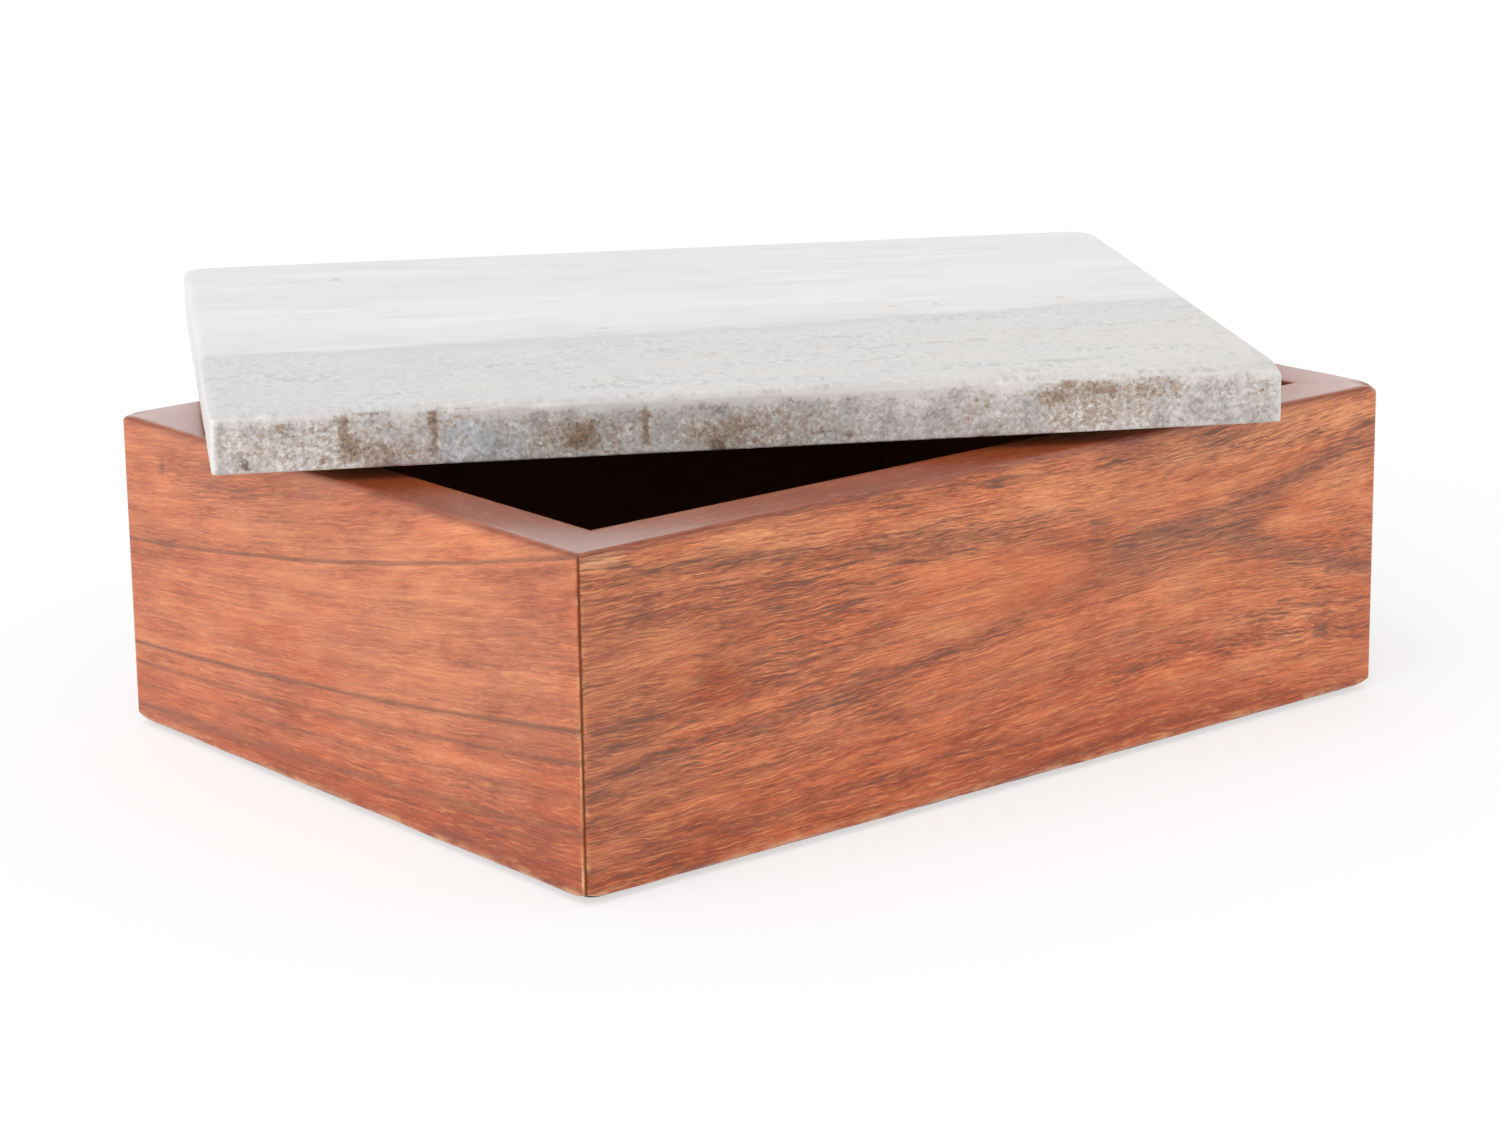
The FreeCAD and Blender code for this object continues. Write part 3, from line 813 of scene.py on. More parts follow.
def wall_layers(solid, to_mitre, board):
    """Everything that a wall carries for its finish."""
    along, depth, height = solid.T
    ring, across = board["sawn"](solid, **board["figure"])
    tone, red = paint_patches(solid, board["patches"])
    (lively,) = paint_patches(solid, board["lively"])
    smear = lay_smears(solid, board["smears"])
    rubbed = lay_smears(solid, board["rubs_and_highlights"])
    wear, joint, bead = edge_marks(depth, height, to_mitre)
    rim = rim_share(depth, height)
    # The inner face, from just under the rim, is painted dark brown: painted shade for the deep shade
    # inside the box.
    inside = slope_up(depth, WALL - INSIDE_SHADE_EDGE, INSIDE_SHADE_EDGE)
    return pack_layers({
        "along": along, "across": across, "depth": depth,
        "lively": lively, "rim": rim, "ring": ring,
        "tone": tone + RIM_TONE_AND_SHADE * rim, "red": red + RIM_RED * rim, "smear": smear,
        "wear": np.maximum(wear, rubbed), "joint": joint, "bead": bead,
        "gloss": rim * gathered_lacquer(depth, to_mitre), "rubbed": rubbed,
        "stain": inside * slope_up(WALL_HEIGHT - height, 0, INSIDE_SHADE_EDGE),
    })


walls = {}
for node, board in BOARDS.items():
    solid, faces, to_mitre = make_wall_surface(board["seed"], board["run"], board["eased"])
    half_box = (BOX_LENGTH + BOX_WIDTH - board["run"]) / 2
    from_middle = solid - (0, half_box, 0)
    points = set_in_frame(from_middle, (0, 0), WALL_FOOT, math.radians(board["turn"]))
    walls[node] = make_piece(node + "_board", points, faces, wall_layers(solid, to_mitre, board),
                             "box", node)

# %% [markdown]
# ## A bench for finishes
# A finish is a material on the bench, with one short method per kind of node that it needs. Each method
# returns the socket that the next step reads, so a recipe reads like a sum.

# %% Finish bench
NOISE_MIDDLE = 0.5


class Finish(Bench):
    """A new material on the bench."""

    def __init__(self, name):
        self.material = bpy.data.materials.new(name)
        super().__init__(self.material)
        self.shader = self.tree.nodes["Principled BSDF"]

    def shade(self, inputs):
        """The main shader's inputs, by name."""
        for key, value in inputs.items():
            self.feed(self.shader.inputs[key], value)

    def layer(self, name):
        """The vector that the mesh carries under this name."""
        return self.node("ShaderNodeAttribute", {}, attribute_name=name).outputs["Vector"]

    def place(self):
        """The place on the object, in millimetres."""
        spot = self.node("ShaderNodeTexCoord", {}).outputs["Object"]
        return self.vectors("MULTIPLY", spot, (1 / MM,) * 3)[0]

    def split(self, vector):
        """The three parts of a vector."""
        return self.node("ShaderNodeSeparateXYZ", {"Vector": vector}).outputs

    def join(self, x, y, z):
        """A vector from three parts."""
        return self.node("ShaderNodeCombineXYZ", {"X": x, "Y": y, "Z": z}).outputs[0]

    def vectors(self, operation, *inputs):
        """One sum on vectors."""
        return self.node("ShaderNodeVectorMath", dict(enumerate(inputs)), operation=operation).outputs

    def product(self, first, *others):
        """The values multiplied together."""
        for other in others:
            first = self.math("MULTIPLY", first, other)
        return first

    def total(self, *terms):
        """The sum of the terms. A term is a bare value, or a value, a weight and a centre, which count
        as weight times (value - centre). The centre is a noise's middle where none is given."""
        result = None
        for term in terms:
            if isinstance(term, tuple):
                value, weight, centre = (*term, NOISE_MIDDLE)[:3]
                term = self.node("ShaderNodeMath", {0: value, 1: weight, 2: -weight * centre},
                                 operation="MULTIPLY_ADD").outputs[0]
            result = term if result is None else self.math("ADD", result, term)
        return result

    def noise(self, vector, sizes, detail, roughness, shift=(0, 0, 0)):
        """Noise with features of about these sizes in millimetres along the vector's three parts. The
        last size given stands for the parts that have none."""
        sizes = (*sizes, *sizes[-1:] * (3 - len(sizes)))
        scaled = self.vectors("MULTIPLY_ADD", vector, [1 / size for size in sizes], shift)[0]
        return self.node("ShaderNodeTexNoise", {"Vector": scaled, "Scale": 1.0, "Detail": detail,
                                                "Roughness": roughness}).outputs[0]

    def noises(self, vector, recipes, seed=1):
        """A noise for each recipe's name: sizes, detail, roughness, and the shift for a seed of 1."""
        return {name: self.noise(vector, sizes, detail, roughness, [seed * part for part in shift])
                for name, (sizes, detail, roughness, shift) in recipes.items()}

    def crystals(self, vector, size):
        """A random number from 0 to 1 for each of the grains of about this size that fill space."""
        scaled = self.vectors("MULTIPLY", vector, (1 / size,) * 3)[0]
        cells = self.node("ShaderNodeTexVoronoi", {"Vector": scaled, "Scale": 1.0}, feature="F1")
        return self.split(cells.outputs["Color"])[0]

    def step(self, value, low, high, to_low=0.0, to_high=1.0):
        """A smooth step from to_low at low to to_high at high."""
        return self.node("ShaderNodeMapRange", {"Value": value, "From Min": low, "From Max": high,
                                                "To Min": to_low, "To Max": to_high},
                         interpolation_type="SMOOTHSTEP").outputs[0]

    def mix(self, factor, first, second):
        """Two colours mixed: first at 0, second at 1."""
        node = self.node("ShaderNodeMix", {0: factor}, data_type="RGBA")
        self.feed(node.inputs[6], first)
        self.feed(node.inputs[7], second)
        return node.outputs[2]

    def cover(self, colour, *tints):
        """The colour with each tint laid over it by the product of the shares that follow the tint."""
        for tint, *parts in tints:
            colour = self.mix(self.product(*parts), colour, tint)
        return colour

    def ramp(self, value, stops, ease="LINEAR"):
        """Colours or grey levels along a value from 0 to 1."""
        node = self.node("ShaderNodeValToRGB", {"Fac": value})
        node.color_ramp.interpolation = ease
        elements = node.color_ramp.elements
        while len(elements) < len(stops):
            elements.new(1.0)
        for element, (place, colour) in zip(elements, stops):
            element.position = place
            element.color = (*colour, 1) if hasattr(colour, "__len__") else (colour, colour, colour, 1)
        return node.outputs[0]

    def rough(self, height, depth, strength):
        """A fine relief of this depth in millimetres under the shader's normal."""
        bump = self.node("ShaderNodeBump", {"Height": height, "Strength": strength,
                                            "Distance": depth * MM})
        self.shade({"Normal": bump.outputs[0]})

    def onto(self, *pieces):
        """The finished material on these pieces."""
        for piece in pieces:
            piece.data.materials.clear()
            piece.data.materials.append(self.material)


print("ready to mix finishes")

# %% [markdown]
# ## The hardwood's pattern
# The wood is a reddish orange with darker rings and fine streaks along the fibres. Rings are bands of
# noise across the ring distance; streaks and fibres are noise drawn out along the grain, so they bend
# with the figure and waver a little besides. Where the saw opened the pores there are short dark
# dashes, and hair-thin dark lines run where a noise crosses its middle. Both crowd together in the
# lively areas, the smears and the dark lines, and so does the contrast of the fibres.

# %% Pattern of the hardwood
DUN_TONES = [
    (0.00, (0.240, 0.062, 0.027)), (0.20, (0.350, 0.096, 0.043)), (0.40, (0.480, 0.142, 0.061)),
    (0.60, (0.620, 0.204, 0.084)), (0.80, (0.775, 0.292, 0.120)), (1.00, (0.900, 0.400, 0.190)),
]
RED_TONES = [
    (0.00, (0.250, 0.040, 0.008)), (0.20, (0.365, 0.064, 0.014)), (0.40, (0.490, 0.098, 0.026)),
    (0.60, (0.635, 0.150, 0.046)), (0.80, (0.775, 0.218, 0.072)), (1.00, (0.880, 0.310, 0.120)),
]
GRAIN_NOISES = {
    "waver": ((14, 6), 3, 0.5, (0, 1, 1)), "drift": ((34, 9), 2, 0.5, (1, 0, 0)),
    "clouds": ((46, 20), 2, 0.5, (0, 0, 1)), "mottle": ((16, 4.5), 3, 0.5, (1, 1, 0)),
    "blotches": ((9, 3), 3, 0.6, (0, 0, 0)),
}
FIBRE_NOISES = {
    "streaks": ((28, 0.9), 4, 0.6, (1, 0, 0)), "fibres": ((11, 0.5), 3, 0.6, (0, 1, 0)),
    "short": ((3.4, 0.36), 2, 0.6, (1, 0, 0)), "openings": ((8, 0.42), 2, 0.5, (1, 0, 1)),
    "threads": ((36, 1.5), 2, 0.5, (1, 1, 1)), "breaks": ((9, 1.0), 2, 0.5, (1, 0, 0)),
    "slivers": ((9, 0.5), 3, 0.6, (0, 1, 1)),
}
BAND_SIZES = (3.4, 160, 1)
RING_SPAN = 110.0
CROWDED = (-0.5, 0.8)
PORES = (0.650, 0.700)
HAIRS = (0.056, 0.020)
HAIR_BREAKS = (0.42, 0.60)
HAIR_CROWD = (0.25, 0.80)


def carried_layers(wood):
    """The values that a board's mesh carries, by name, and its grain as a whole vector."""
    carried = SimpleNamespace(grain=wood.layer("grain"))
    for label, names in BOARD_LAYERS.items():
        for name, part in zip(names, wood.split(wood.layer(label))):
            setattr(carried, name, part)
    return carried


def growth_lines(wood, ring, lines):
    """Dark lines at given ring distances: a ramp that is 0 between them, rises over the inner width
    to each darkness and falls over the outer width."""
    stops = [(0.0, 0.0)]
    for level, inner, outer, darkness in lines:
        stops += [((level - inner) / RING_SPAN, 0.0), (level / RING_SPAN, darkness),
                  ((level + outer) / RING_SPAN, 0.0)]
    return wood.ramp(wood.math("DIVIDE", ring, RING_SPAN), stops, "EASE")


def wood_pattern(wood, board, carried):
    """One board's noises by name, with its rings, its dark lines, and how far the strokes crowd."""
    seed = board["seed"]
    slow = wood.noises(carried.grain, GRAIN_NOISES, seed)
    bent = wood.total(carried.across, (slow["waver"], board["curl"]))
    wavy = wood.join(carried.along, bent, carried.depth)
    pattern = SimpleNamespace(**slow, **wood.noises(wavy, FIBRE_NOISES, seed))
    uneven_ring = wood.total(carried.ring, (pattern.drift, 0.4 + 0.4 * board["ragged"]),
                             (pattern.streaks, board["ragged"]))
    pattern.bands = wood.noise(wood.join(uneven_ring, carried.along, seed), BAND_SIZES, 3, 0.55)
    pattern.lines = growth_lines(wood, uneven_ring, board["lines"])
    crowd = wood.total(carried.lively, (carried.smear, 0.7, 0), (pattern.lines, 0.8, 0),
                       (pattern.mottle, -1.6), (pattern.bands, -1.6))
    pattern.crowd = wood.step(crowd, *CROWDED)
    return pattern


def bare_colour(wood, board, carried, pattern):
    """Dun and red tones by how light the wood is, mixed by how far it blushes."""
    fine = wood.total((pattern.fibres, board["fibres"]), (pattern.short, board["fibres"]))
    fine = wood.product(fine, wood.total((pattern.crowd, 1.0, -0.45)))
    value = wood.total((carried.tone, 1, -0.46), (pattern.bands, board["bands"]),
                       (pattern.streaks, board["streaks"]), fine,
                       (pattern.mottle, 0.55), (pattern.clouds, 0.5))
    blush = wood.total((carried.red, 1, -0.5), (pattern.mottle, -1.0), (pattern.drift, 1.6),
                       (pattern.streaks, 0.8))
    return wood.mix(blush, wood.ramp(value, DUN_TONES), wood.ramp(value, RED_TONES))


def dark_strokes(wood, board, pattern):
    """Opened pores, and hairs: a thread lies where a noise is near its middle, and is broken up."""
    opened = wood.total(pattern.openings, (pattern.crowd, 0.07, 0))
    pores = wood.step(opened, *PORES, 0.0, board["strokes"])
    off_thread = wood.math("ABSOLUTE", wood.total((pattern.threads, 1)))
    hairs = wood.product(wood.step(off_thread, *HAIRS), wood.step(pattern.breaks, *HAIR_BREAKS),
                         wood.step(pattern.crowd, *HAIR_CROWD, 0.0, board["hairs"]))
    return wood.math("MAXIMUM", pores, hairs)


print("noises in a board:", ", ".join([*GRAIN_NOISES, *FIBRE_NOISES]))

# %% [markdown]
# ## Lacquer on the hardwood
# A thin satin lacquer lies over the walls. It is worn pale on the edges, with thin pale lines painted
# as highlights on the rim's arris and down one upright corner. A dark mauve band runs just under the
# rim's arris. The rim is a darker red-brown than the faces, partly the wood's own tone under the
# lacquer and partly painted shade, and it mirrors the light near the corners, where the lacquer
# gathered. Pale slivers of wood gleam along the fibres. The inside is painted a dark brown that stands
# for the deep shade in the box, and lets some grain show.

# %% Lacquered hardwood
LINE_BROWN = (0.165, 0.058, 0.030, 1)
SMEAR_BROWN = (0.235, 0.080, 0.046, 1)
GLEAM = (0.820, 0.335, 0.120, 1)
# Pale orange of bare wood where lacquer wore off, also used for the painted highlights on the rim's
# arris and the front wall's right end.
RUBBED_AND_HIGHLIGHT = (0.780, 0.430, 0.220, 1)
JOINT_BROWN = (0.120, 0.026, 0.010, 1)
# Dark mauve, painted in a band just under the rim's arris.
ARRIS_BAND_MAUVE = (0.180, 0.060, 0.044, 1)
# The rim's red-brown: partly its own colour, partly painted shade.
RIM_RED_BROWN = (0.235, 0.050, 0.018, 1)
# A dark brown painted over the inside: painted shade for the deep shade within the box.
INSIDE_PAINTED_SHADE = (0.130, 0.068, 0.044, 1)
SMEAR_COVER = 0.62
RIM_COVER = 0.65
INSIDE_SHADE_COVER = 0.84
GLEAMS = (0.535, 0.650)
ON_RIM = (0.15, 0.85)
SATIN = (0.36, 0.28)
RIM_POLISH = 0.24
COAT_ROUGHNESS = 0.26
WOOD_RELIEF = 0.06


def worn_share(wood, carried, pattern):
    """How pale the edges get where lacquer has gone and where highlights are painted: in blotches on
    the edges and along the rim's arris, and in slivers where the lacquer wore through and along the
    highlight strip.
    """
    blotchy = wood.step(pattern.blotches, 0.40, 0.66, 0.0, 0.7)
    scuffed = wood.product(carried.rubbed, wood.step(pattern.slivers, 0.32, 0.52, 0.3, 1.0))
    return wood.product(carried.wear, wood.math("MAXIMUM", blotchy, scuffed))


def lacquer(wood, carried, pattern, on_rim):
    """Roughness, mirror and coat. The rim mirrors less where the coat is thin and at the glue line."""
    satin = wood.step(pattern.streaks, 0.25, 0.75, *SATIN)
    polish = wood.node("ShaderNodeMix", {0: on_rim, 2: satin, 3: RIM_POLISH}).outputs[0]
    thin = wood.step(carried.gloss, 0.0, THIN_COAT, 0.5, 0.08)
    thick = wood.step(carried.gloss, 0.4, 1.0, 0.0, 0.5)
    beside_joint = wood.step(carried.joint, 0.0, 0.8, 0.5, 0.05)
    mirror = wood.math("MINIMUM", wood.math("MAXIMUM", thin, thick), beside_joint)
    wood.shade({"Roughness": polish, "Specular IOR Level": mirror, "Coat Weight": carried.gloss,
                "Coat Roughness": COAT_ROUGHNESS})


def hardwood(name, board):
    """The finish of one board, with its own seed, lines and strength of figure."""
    wood = Finish(name)
    carried = carried_layers(wood)
    pattern = wood_pattern(wood, board, carried)
    strokes = dark_strokes(wood, board, pattern)
    gleams = wood.total(pattern.slivers, (pattern.bands, 0.2))
    on_rim = wood.step(carried.rim, *ON_RIM)
    colour = wood.cover(
        bare_colour(wood, board, carried, pattern),
        (GLEAM, wood.step(gleams, *GLEAMS, 0.0, board["gleams"])),
        # Pale bare wood where lacquer wore off, and painted highlights on the rim's arris and one
        # corner.
        (RUBBED_AND_HIGHLIGHT, worn_share(wood, carried, pattern)),
        (SMEAR_BROWN, carried.smear, SMEAR_COVER),
        (LINE_BROWN, strokes),
        (LINE_BROWN, pattern.lines, board["solid"]),
        # The rim's darker red-brown, partly painted shade.
        (RIM_RED_BROWN, on_rim, RIM_COVER),
        (ARRIS_BAND_MAUVE, carried.bead, board["bead"]),
        (JOINT_BROWN, carried.joint),
        # Painted shade: the inside is darkened to a dark brown.
        (INSIDE_PAINTED_SHADE, carried.stain, INSIDE_SHADE_COVER),
    )
    wood.shade({"Base Color": colour})
    lacquer(wood, carried, pattern, on_rim)
    wood.rough(wood.total((pattern.streaks, 0.4, 0), (strokes, -0.5, 0), (pattern.fibres, 0.2, 0)),
               WOOD_RELIEF, wood.step(carried.gloss, 0.0, THIN_COAT, 0.5, 0.06))
    return wood


for node, board in BOARDS.items():
    hardwood("lacquered_" + node, board).onto(walls[node])
print("lacquered boards:", len(walls))

# %% [markdown]
# ## Plates
# The bottom, the panel under the lid, the felt and the slab are all plates: an outline with round
# corners, carried down a profile of insets and heights. From the profile's first ring the outline
# shrinks to a point in the middle of the top, and from its last ring to one in the middle of the
# underside, so each plate is a closed skin with two poles and no seam.

# %% Plates as surfaces
LEAST_ROUND = 0.05
FILL_SHARES = (0.04, 0.2, 0.36, 0.5, 0.62, 0.72, 0.8, 0.87, 0.92, 0.96, 0.985)
FILL_FADE = 60


def round_outline(half_length, half_width, radius, step, corner_steps):
    """Rectangles with round corners, one per row, walked against the clock from the front left. A
    corner is its centre plus the radius times the cosine and sine of a quarter turn, and a side
    joins the corner before it to the next by even shares."""
    turns = np.linspace(0, np.pi / 2, corner_steps + 1)
    columns = []
    before = None
    for quarter_turn, (side_x, side_y) in enumerate((*CORNERS, CORNERS[0])):
        angle = turns + (quarter_turn + 2) * np.pi / 2
        corner = np.stack([side_x * (half_length - radius) + radius * np.cos(angle),
                           side_y * (half_width - radius) + radius * np.sin(angle)], axis=-1)
        if before is not None:
            gap = corner[:, :1] - before
            count = math.ceil(np.abs(gap[0]).max() / step)
            columns += [before + gap * np.linspace(0, 1, count + 1)[1:-1, None], corner]
        before = corner[:, -1:]
    return np.concatenate(columns, axis=1)


def plate_surface(size, radius, inset, height, step, corner_steps=6, relief=None):
    """Points (along, across, height) and faces of a plate, from the top's middle over the profile to
    the underside's middle. relief may change the profile rings before the middles are filled, and
    what it raises or lowers fades towards the middle by a high power of the share."""
    inset = np.asarray(inset, float)[:, None]
    rounds = np.maximum(radius - inset, LEAST_ROUND)
    outline = round_outline(size[0] / 2 - inset, size[1] / 2 - inset, rounds, step, corner_steps)
    levels = np.broadcast_to(np.reshape(height, (-1, 1, 1)), outline.shape[:2] + (1,))
    rings = np.concatenate([outline, levels], axis=2)
    if relief is not None:
        rings = relief(rings)
    inwards = np.array(FILL_SHARES)[:, None, None]
    fills = []
    for ring, level in ((rings[:1], height[0]), (rings[-1:], height[-1])):
        fill = ring * inwards
        fill[..., 2] = level + (ring[..., 2] - level) * inwards[..., 0] ** FILL_FADE
        fills.append(fill)
    grid = np.concatenate([fills[0], rings, fills[1][::-1]])
    rows, columns = grid.shape[:2]
    poles = np.array([[0, 0, height[0]], [0, 0, height[-1]]])
    points = np.vstack([grid.reshape(-1, 3), poles])
    first = np.arange(columns)
    last = first + (rows - 1) * columns
    top, bottom = rows * columns, rows * columns + 1
    fans = [(top, a, b) for a, b in zip(first, np.roll(first, -1))]
    fans += [(bottom, b, a) for a, b in zip(last, np.roll(last, -1))]
    return points, grid_quads(rows, columns).tolist() + fans


def upper_round(radius, steps, top):
    """Insets and heights of the round of an upper edge, from the top going down and outwards."""
    angle = np.linspace(0, np.pi / 2, steps + 1)
    return radius * (1 - np.sin(angle)), top - radius * (1 - np.cos(angle))


def lower_round(radius, steps):
    """Insets and heights of the round of a lower edge, going down to 0 and inwards."""
    angle = np.linspace(0, np.pi / 2, steps + 1)
    return radius * (1 - np.cos(angle)), radius * (1 - np.sin(angle))


print("plates are ready")

# %% [markdown]
# ## Bottom, lid panel and felt
# The bottom's edge is a tongue that runs in the walls' groove, so its profile has a step. The panel
# under the lid is thin, with a small lead on its lower edge that helps it into the opening. The felt
# lies under the whole box, set back from its edges so that it doesn't show from above, and its cut
# edge wavers as scissors leave it.

# %% Small plates
TONGUE = 5.0
TONGUE_THICKNESS = 4.0
BASE_EASE = 0.3
BASE_THICKNESS = float(base_size[2])
PANEL_PLAY = 1.0
PANEL_SIZE = tuple(side - 2 * (WALL + PANEL_PLAY) for side in (BOX_LENGTH, BOX_WIDTH))
PANEL_ROUND = 2.0
PANEL_LEAD = 0.8
PANEL_THICKNESS = float(panel_size[2])
FELT_ROUND = 3.0
FELT_SOFT = 0.4
FELT_WAVER = 0.0012
FELT_WAVELENGTH = 9.0
FELT_MEAN_RADIUS = 80
PLATE_STEP = 2.0
SOFT_STEPS = 3
MIDDLE_RING = 55
RING_BEND = 4
RING_WAVELENGTH = 190.0


def plate_layers(points, lean, slope, stain):
    """What a plain board carries: its grain along the length and slanting rings, ring = lean times
    the distance across plus slope times the height plus a slow bend along the board."""
    along, across, height = points.T
    bend = RING_BEND * slow_waves(5, along, RING_WAVELENGTH)
    return pack_layers({"along": along, "across": across, "depth": height,
                        "ring": MIDDLE_RING + lean * across + slope * height + bend,
                        "stain": np.full(len(points), stain)})


def soft_felt(rings):
    """The felt's cut edge wavers by a tenth of a millimetre or two."""
    place = np.arctan2(rings[..., 1], rings[..., 0]) * FELT_MEAN_RADIUS
    return rings * (1 + FELT_WAVER * slow_waves(77, place, FELT_WAVELENGTH)[..., None] * [1, 1, 0])


ease_in, ease_down = upper_round(BASE_EASE, SOFT_STEPS, BASE_THICKNESS)
under_tongue = BASE_THICKNESS - TONGUE_THICKNESS
base_points, base_faces = plate_surface(
    base_size, 0.0, [*ease_in, 0, TONGUE, TONGUE], [*ease_down, under_tongue, under_tongue, 0],
    PLATE_STEP, corner_steps=2)
# The bottom is painted dark brown all over, as painted shade for the inside of the box.
base = make_piece("base_board", set_in_frame(base_points, (0, 0), base_low[2]), base_faces,
                  plate_layers(base_points, 0.45, 0.8, 1.0), "box", "base_panel")

panel_points, panel_faces = plate_surface(
    PANEL_SIZE, PANEL_ROUND, [0, 0, PANEL_LEAD], [PANEL_THICKNESS, PANEL_LEAD, 0], PLATE_STEP)
panel = make_piece("lid_panel_board", set_in_frame(panel_points, LID_CENTRE, panel_low[2], LID_TURN),
                   panel_faces, plate_layers(panel_points, 0.5, 0.9, 0.0), "lid", "lid_panel")

soft_in, soft_down = upper_round(FELT_SOFT, SOFT_STEPS, float(felt_size[2]))
under_in, under_down = lower_round(FELT_SOFT, SOFT_STEPS)
felt_points, felt_faces = plate_surface(
    felt_size, FELT_ROUND, [*soft_in, *under_in], [*soft_down, *under_down], PLATE_STEP,
    relief=soft_felt)
felt = make_piece("felt_underlay", set_in_frame(felt_points, (0, 0), felt_low[2]), felt_faces, {},
                  "box", "felt_sheet")

# %% [markdown]
# ## The marble slab
# The lid is a sawn slab: a polished top with a soft upper edge, and edges that were only ground, so
# they keep the stone's grain. The grain is modelled, not just shaded: smoothed random numbers push the
# edge in and out by hundredths of a millimetre, and a few nicks are broken out of the two arrises.
# The upper corners are worn down, each by its own amount.

# %% Slab
SLAB_ROUND = 1.2
SLAB_TOP_ROUND = 2.0
SLAB_FOOT_ROUND = 0.5
SLAB_STEP = 0.75
ROUND_ROWS = 8
FOOT_ROWS = 3
GRAIN_SIZE = 0.55
GRAIN_RELIEF = 0.035
NICKS = 46
NICK_DEPTH = 0.5
NICK_REACH = (0.7, 2.4)
NICK_BITE = (0.15, 1)
NICK_DROP = 0.5
NICK_ARRISES = ((0.3 * SLAB_FOOT_ROUND, 0.6), (SLAB_THICKNESS - 0.4 * SLAB_TOP_ROUND, 0.8))
CORNER_WEAR = (0.5, 1.8, 0.8, 0.6)
CORNER_REACH = 4.2
CORNER_FADE = 4

top_in, top_down = upper_round(SLAB_TOP_ROUND, ROUND_ROWS, SLAB_THICKNESS)
foot_in, foot_down = lower_round(SLAB_FOOT_ROUND, FOOT_ROWS)
side_down = places(SLAB_FOOT_ROUND, SLAB_THICKNESS - SLAB_TOP_ROUND, SLAB_STEP)[::-1][1:-1]
slab_inset = np.concatenate([top_in, 0 * side_down, foot_in])
slab_height = np.concatenate([top_down, side_down, foot_down])


def stone_grains(seed, shape, spacing, size):
    """Random numbers blurred by a bell curve of the given size and scaled to a spread of one. The blur
    is a product in frequencies, which also joins the last column to the first."""
    numbers = np.random.default_rng(seed).standard_normal(shape)
    down = np.fft.fftfreq(shape[0], spacing)[:, None]
    round_about = np.fft.fftfreq(shape[1], spacing)
    blur = np.exp(-2 * (np.pi * size) ** 2 * (down ** 2 + round_about ** 2))
    blurred = np.fft.ifft2(np.fft.fft2(numbers) * blur).real
    return blurred / blurred.std()


def nicked_arrises(travelled, height):
    """How far nicks push the edge in and lower or raise it: bell-shaped bites towards the middle of the
    slab's section, on the lower and the upper arris in turn, at seeded places round the outline."""
    draw = np.random.default_rng(19)
    push = np.zeros_like(height)
    drop = np.zeros_like(height)
    for nick in range(NICKS):
        at = draw.uniform(0, travelled[-1])
        reach = draw.uniform(*NICK_REACH)
        bite = NICK_DEPTH * draw.uniform(*NICK_BITE) ** 2
        arris, size = NICK_ARRISES[nick % 2]
        bitten = bite * bell((travelled - at) / reach, (height - arris) / size)
        push = push - bitten
        drop = drop + NICK_DROP * bitten * np.sign(arris - SLAB_THICKNESS / 2)
    return push, drop


def broken_edges(rings):
    """Grains on the ground edge, nicks along both arrises, and upper corners worn down by a bell curve
    of the distance from each."""
    height = rings[..., 2]
    rim = rings[len(top_in)]
    outwards = np.gradient(rim, axis=0)[:, [1, 0, 2]] * [1, -1, 0]
    outwards /= np.linalg.norm(outwards, axis=1, keepdims=True)
    travelled = np.cumsum(np.linalg.norm(np.diff(rim, axis=0, append=rim[:1]), axis=1))
    push, drop = nicked_arrises(travelled, height)
    ground = slope_up(SLAB_THICKNESS - height, 0, SLAB_TOP_ROUND) ** 2
    push = push + GRAIN_RELIEF * ground * stone_grains(3, height.shape, SLAB_STEP, GRAIN_SIZE)
    upper = slope_up(height, 0, SLAB_THICKNESS) ** CORNER_FADE
    for (side_x, side_y), worn in zip(CORNERS, CORNER_WEAR):
        away = np.hypot(rings[..., 0] - side_x * BOX_LENGTH / 2,
                        rings[..., 1] - side_y * BOX_WIDTH / 2)
        drop = drop + worn * upper * bell(away / CORNER_REACH)
    moved = rings + outwards * push[..., None]
    moved[:-1, :, 2] -= drop[:-1]
    return moved


slab_points, slab_faces = plate_surface((BOX_LENGTH, BOX_WIDTH), SLAB_ROUND, slab_inset, slab_height,
                                        SLAB_STEP, relief=broken_edges)
print("slab surface:", len(slab_points), "points")

# %% [markdown]
# ## What the stone carries
# The stone was laid down in beds, which show on top as long streaks that bend gently, with one
# bluish vein. Each point knows how far it is from that vein. On the ground front edge iron has
# stained the grains brown in a few places, and these are listed; round the other edges slow
# waves place them. The two ends are painted paler, a painted highlight for the light that they catch.
# A stain has its distance from the left end, its reach along, its height, its reach up, and how rusty,
# dark and blue it is.

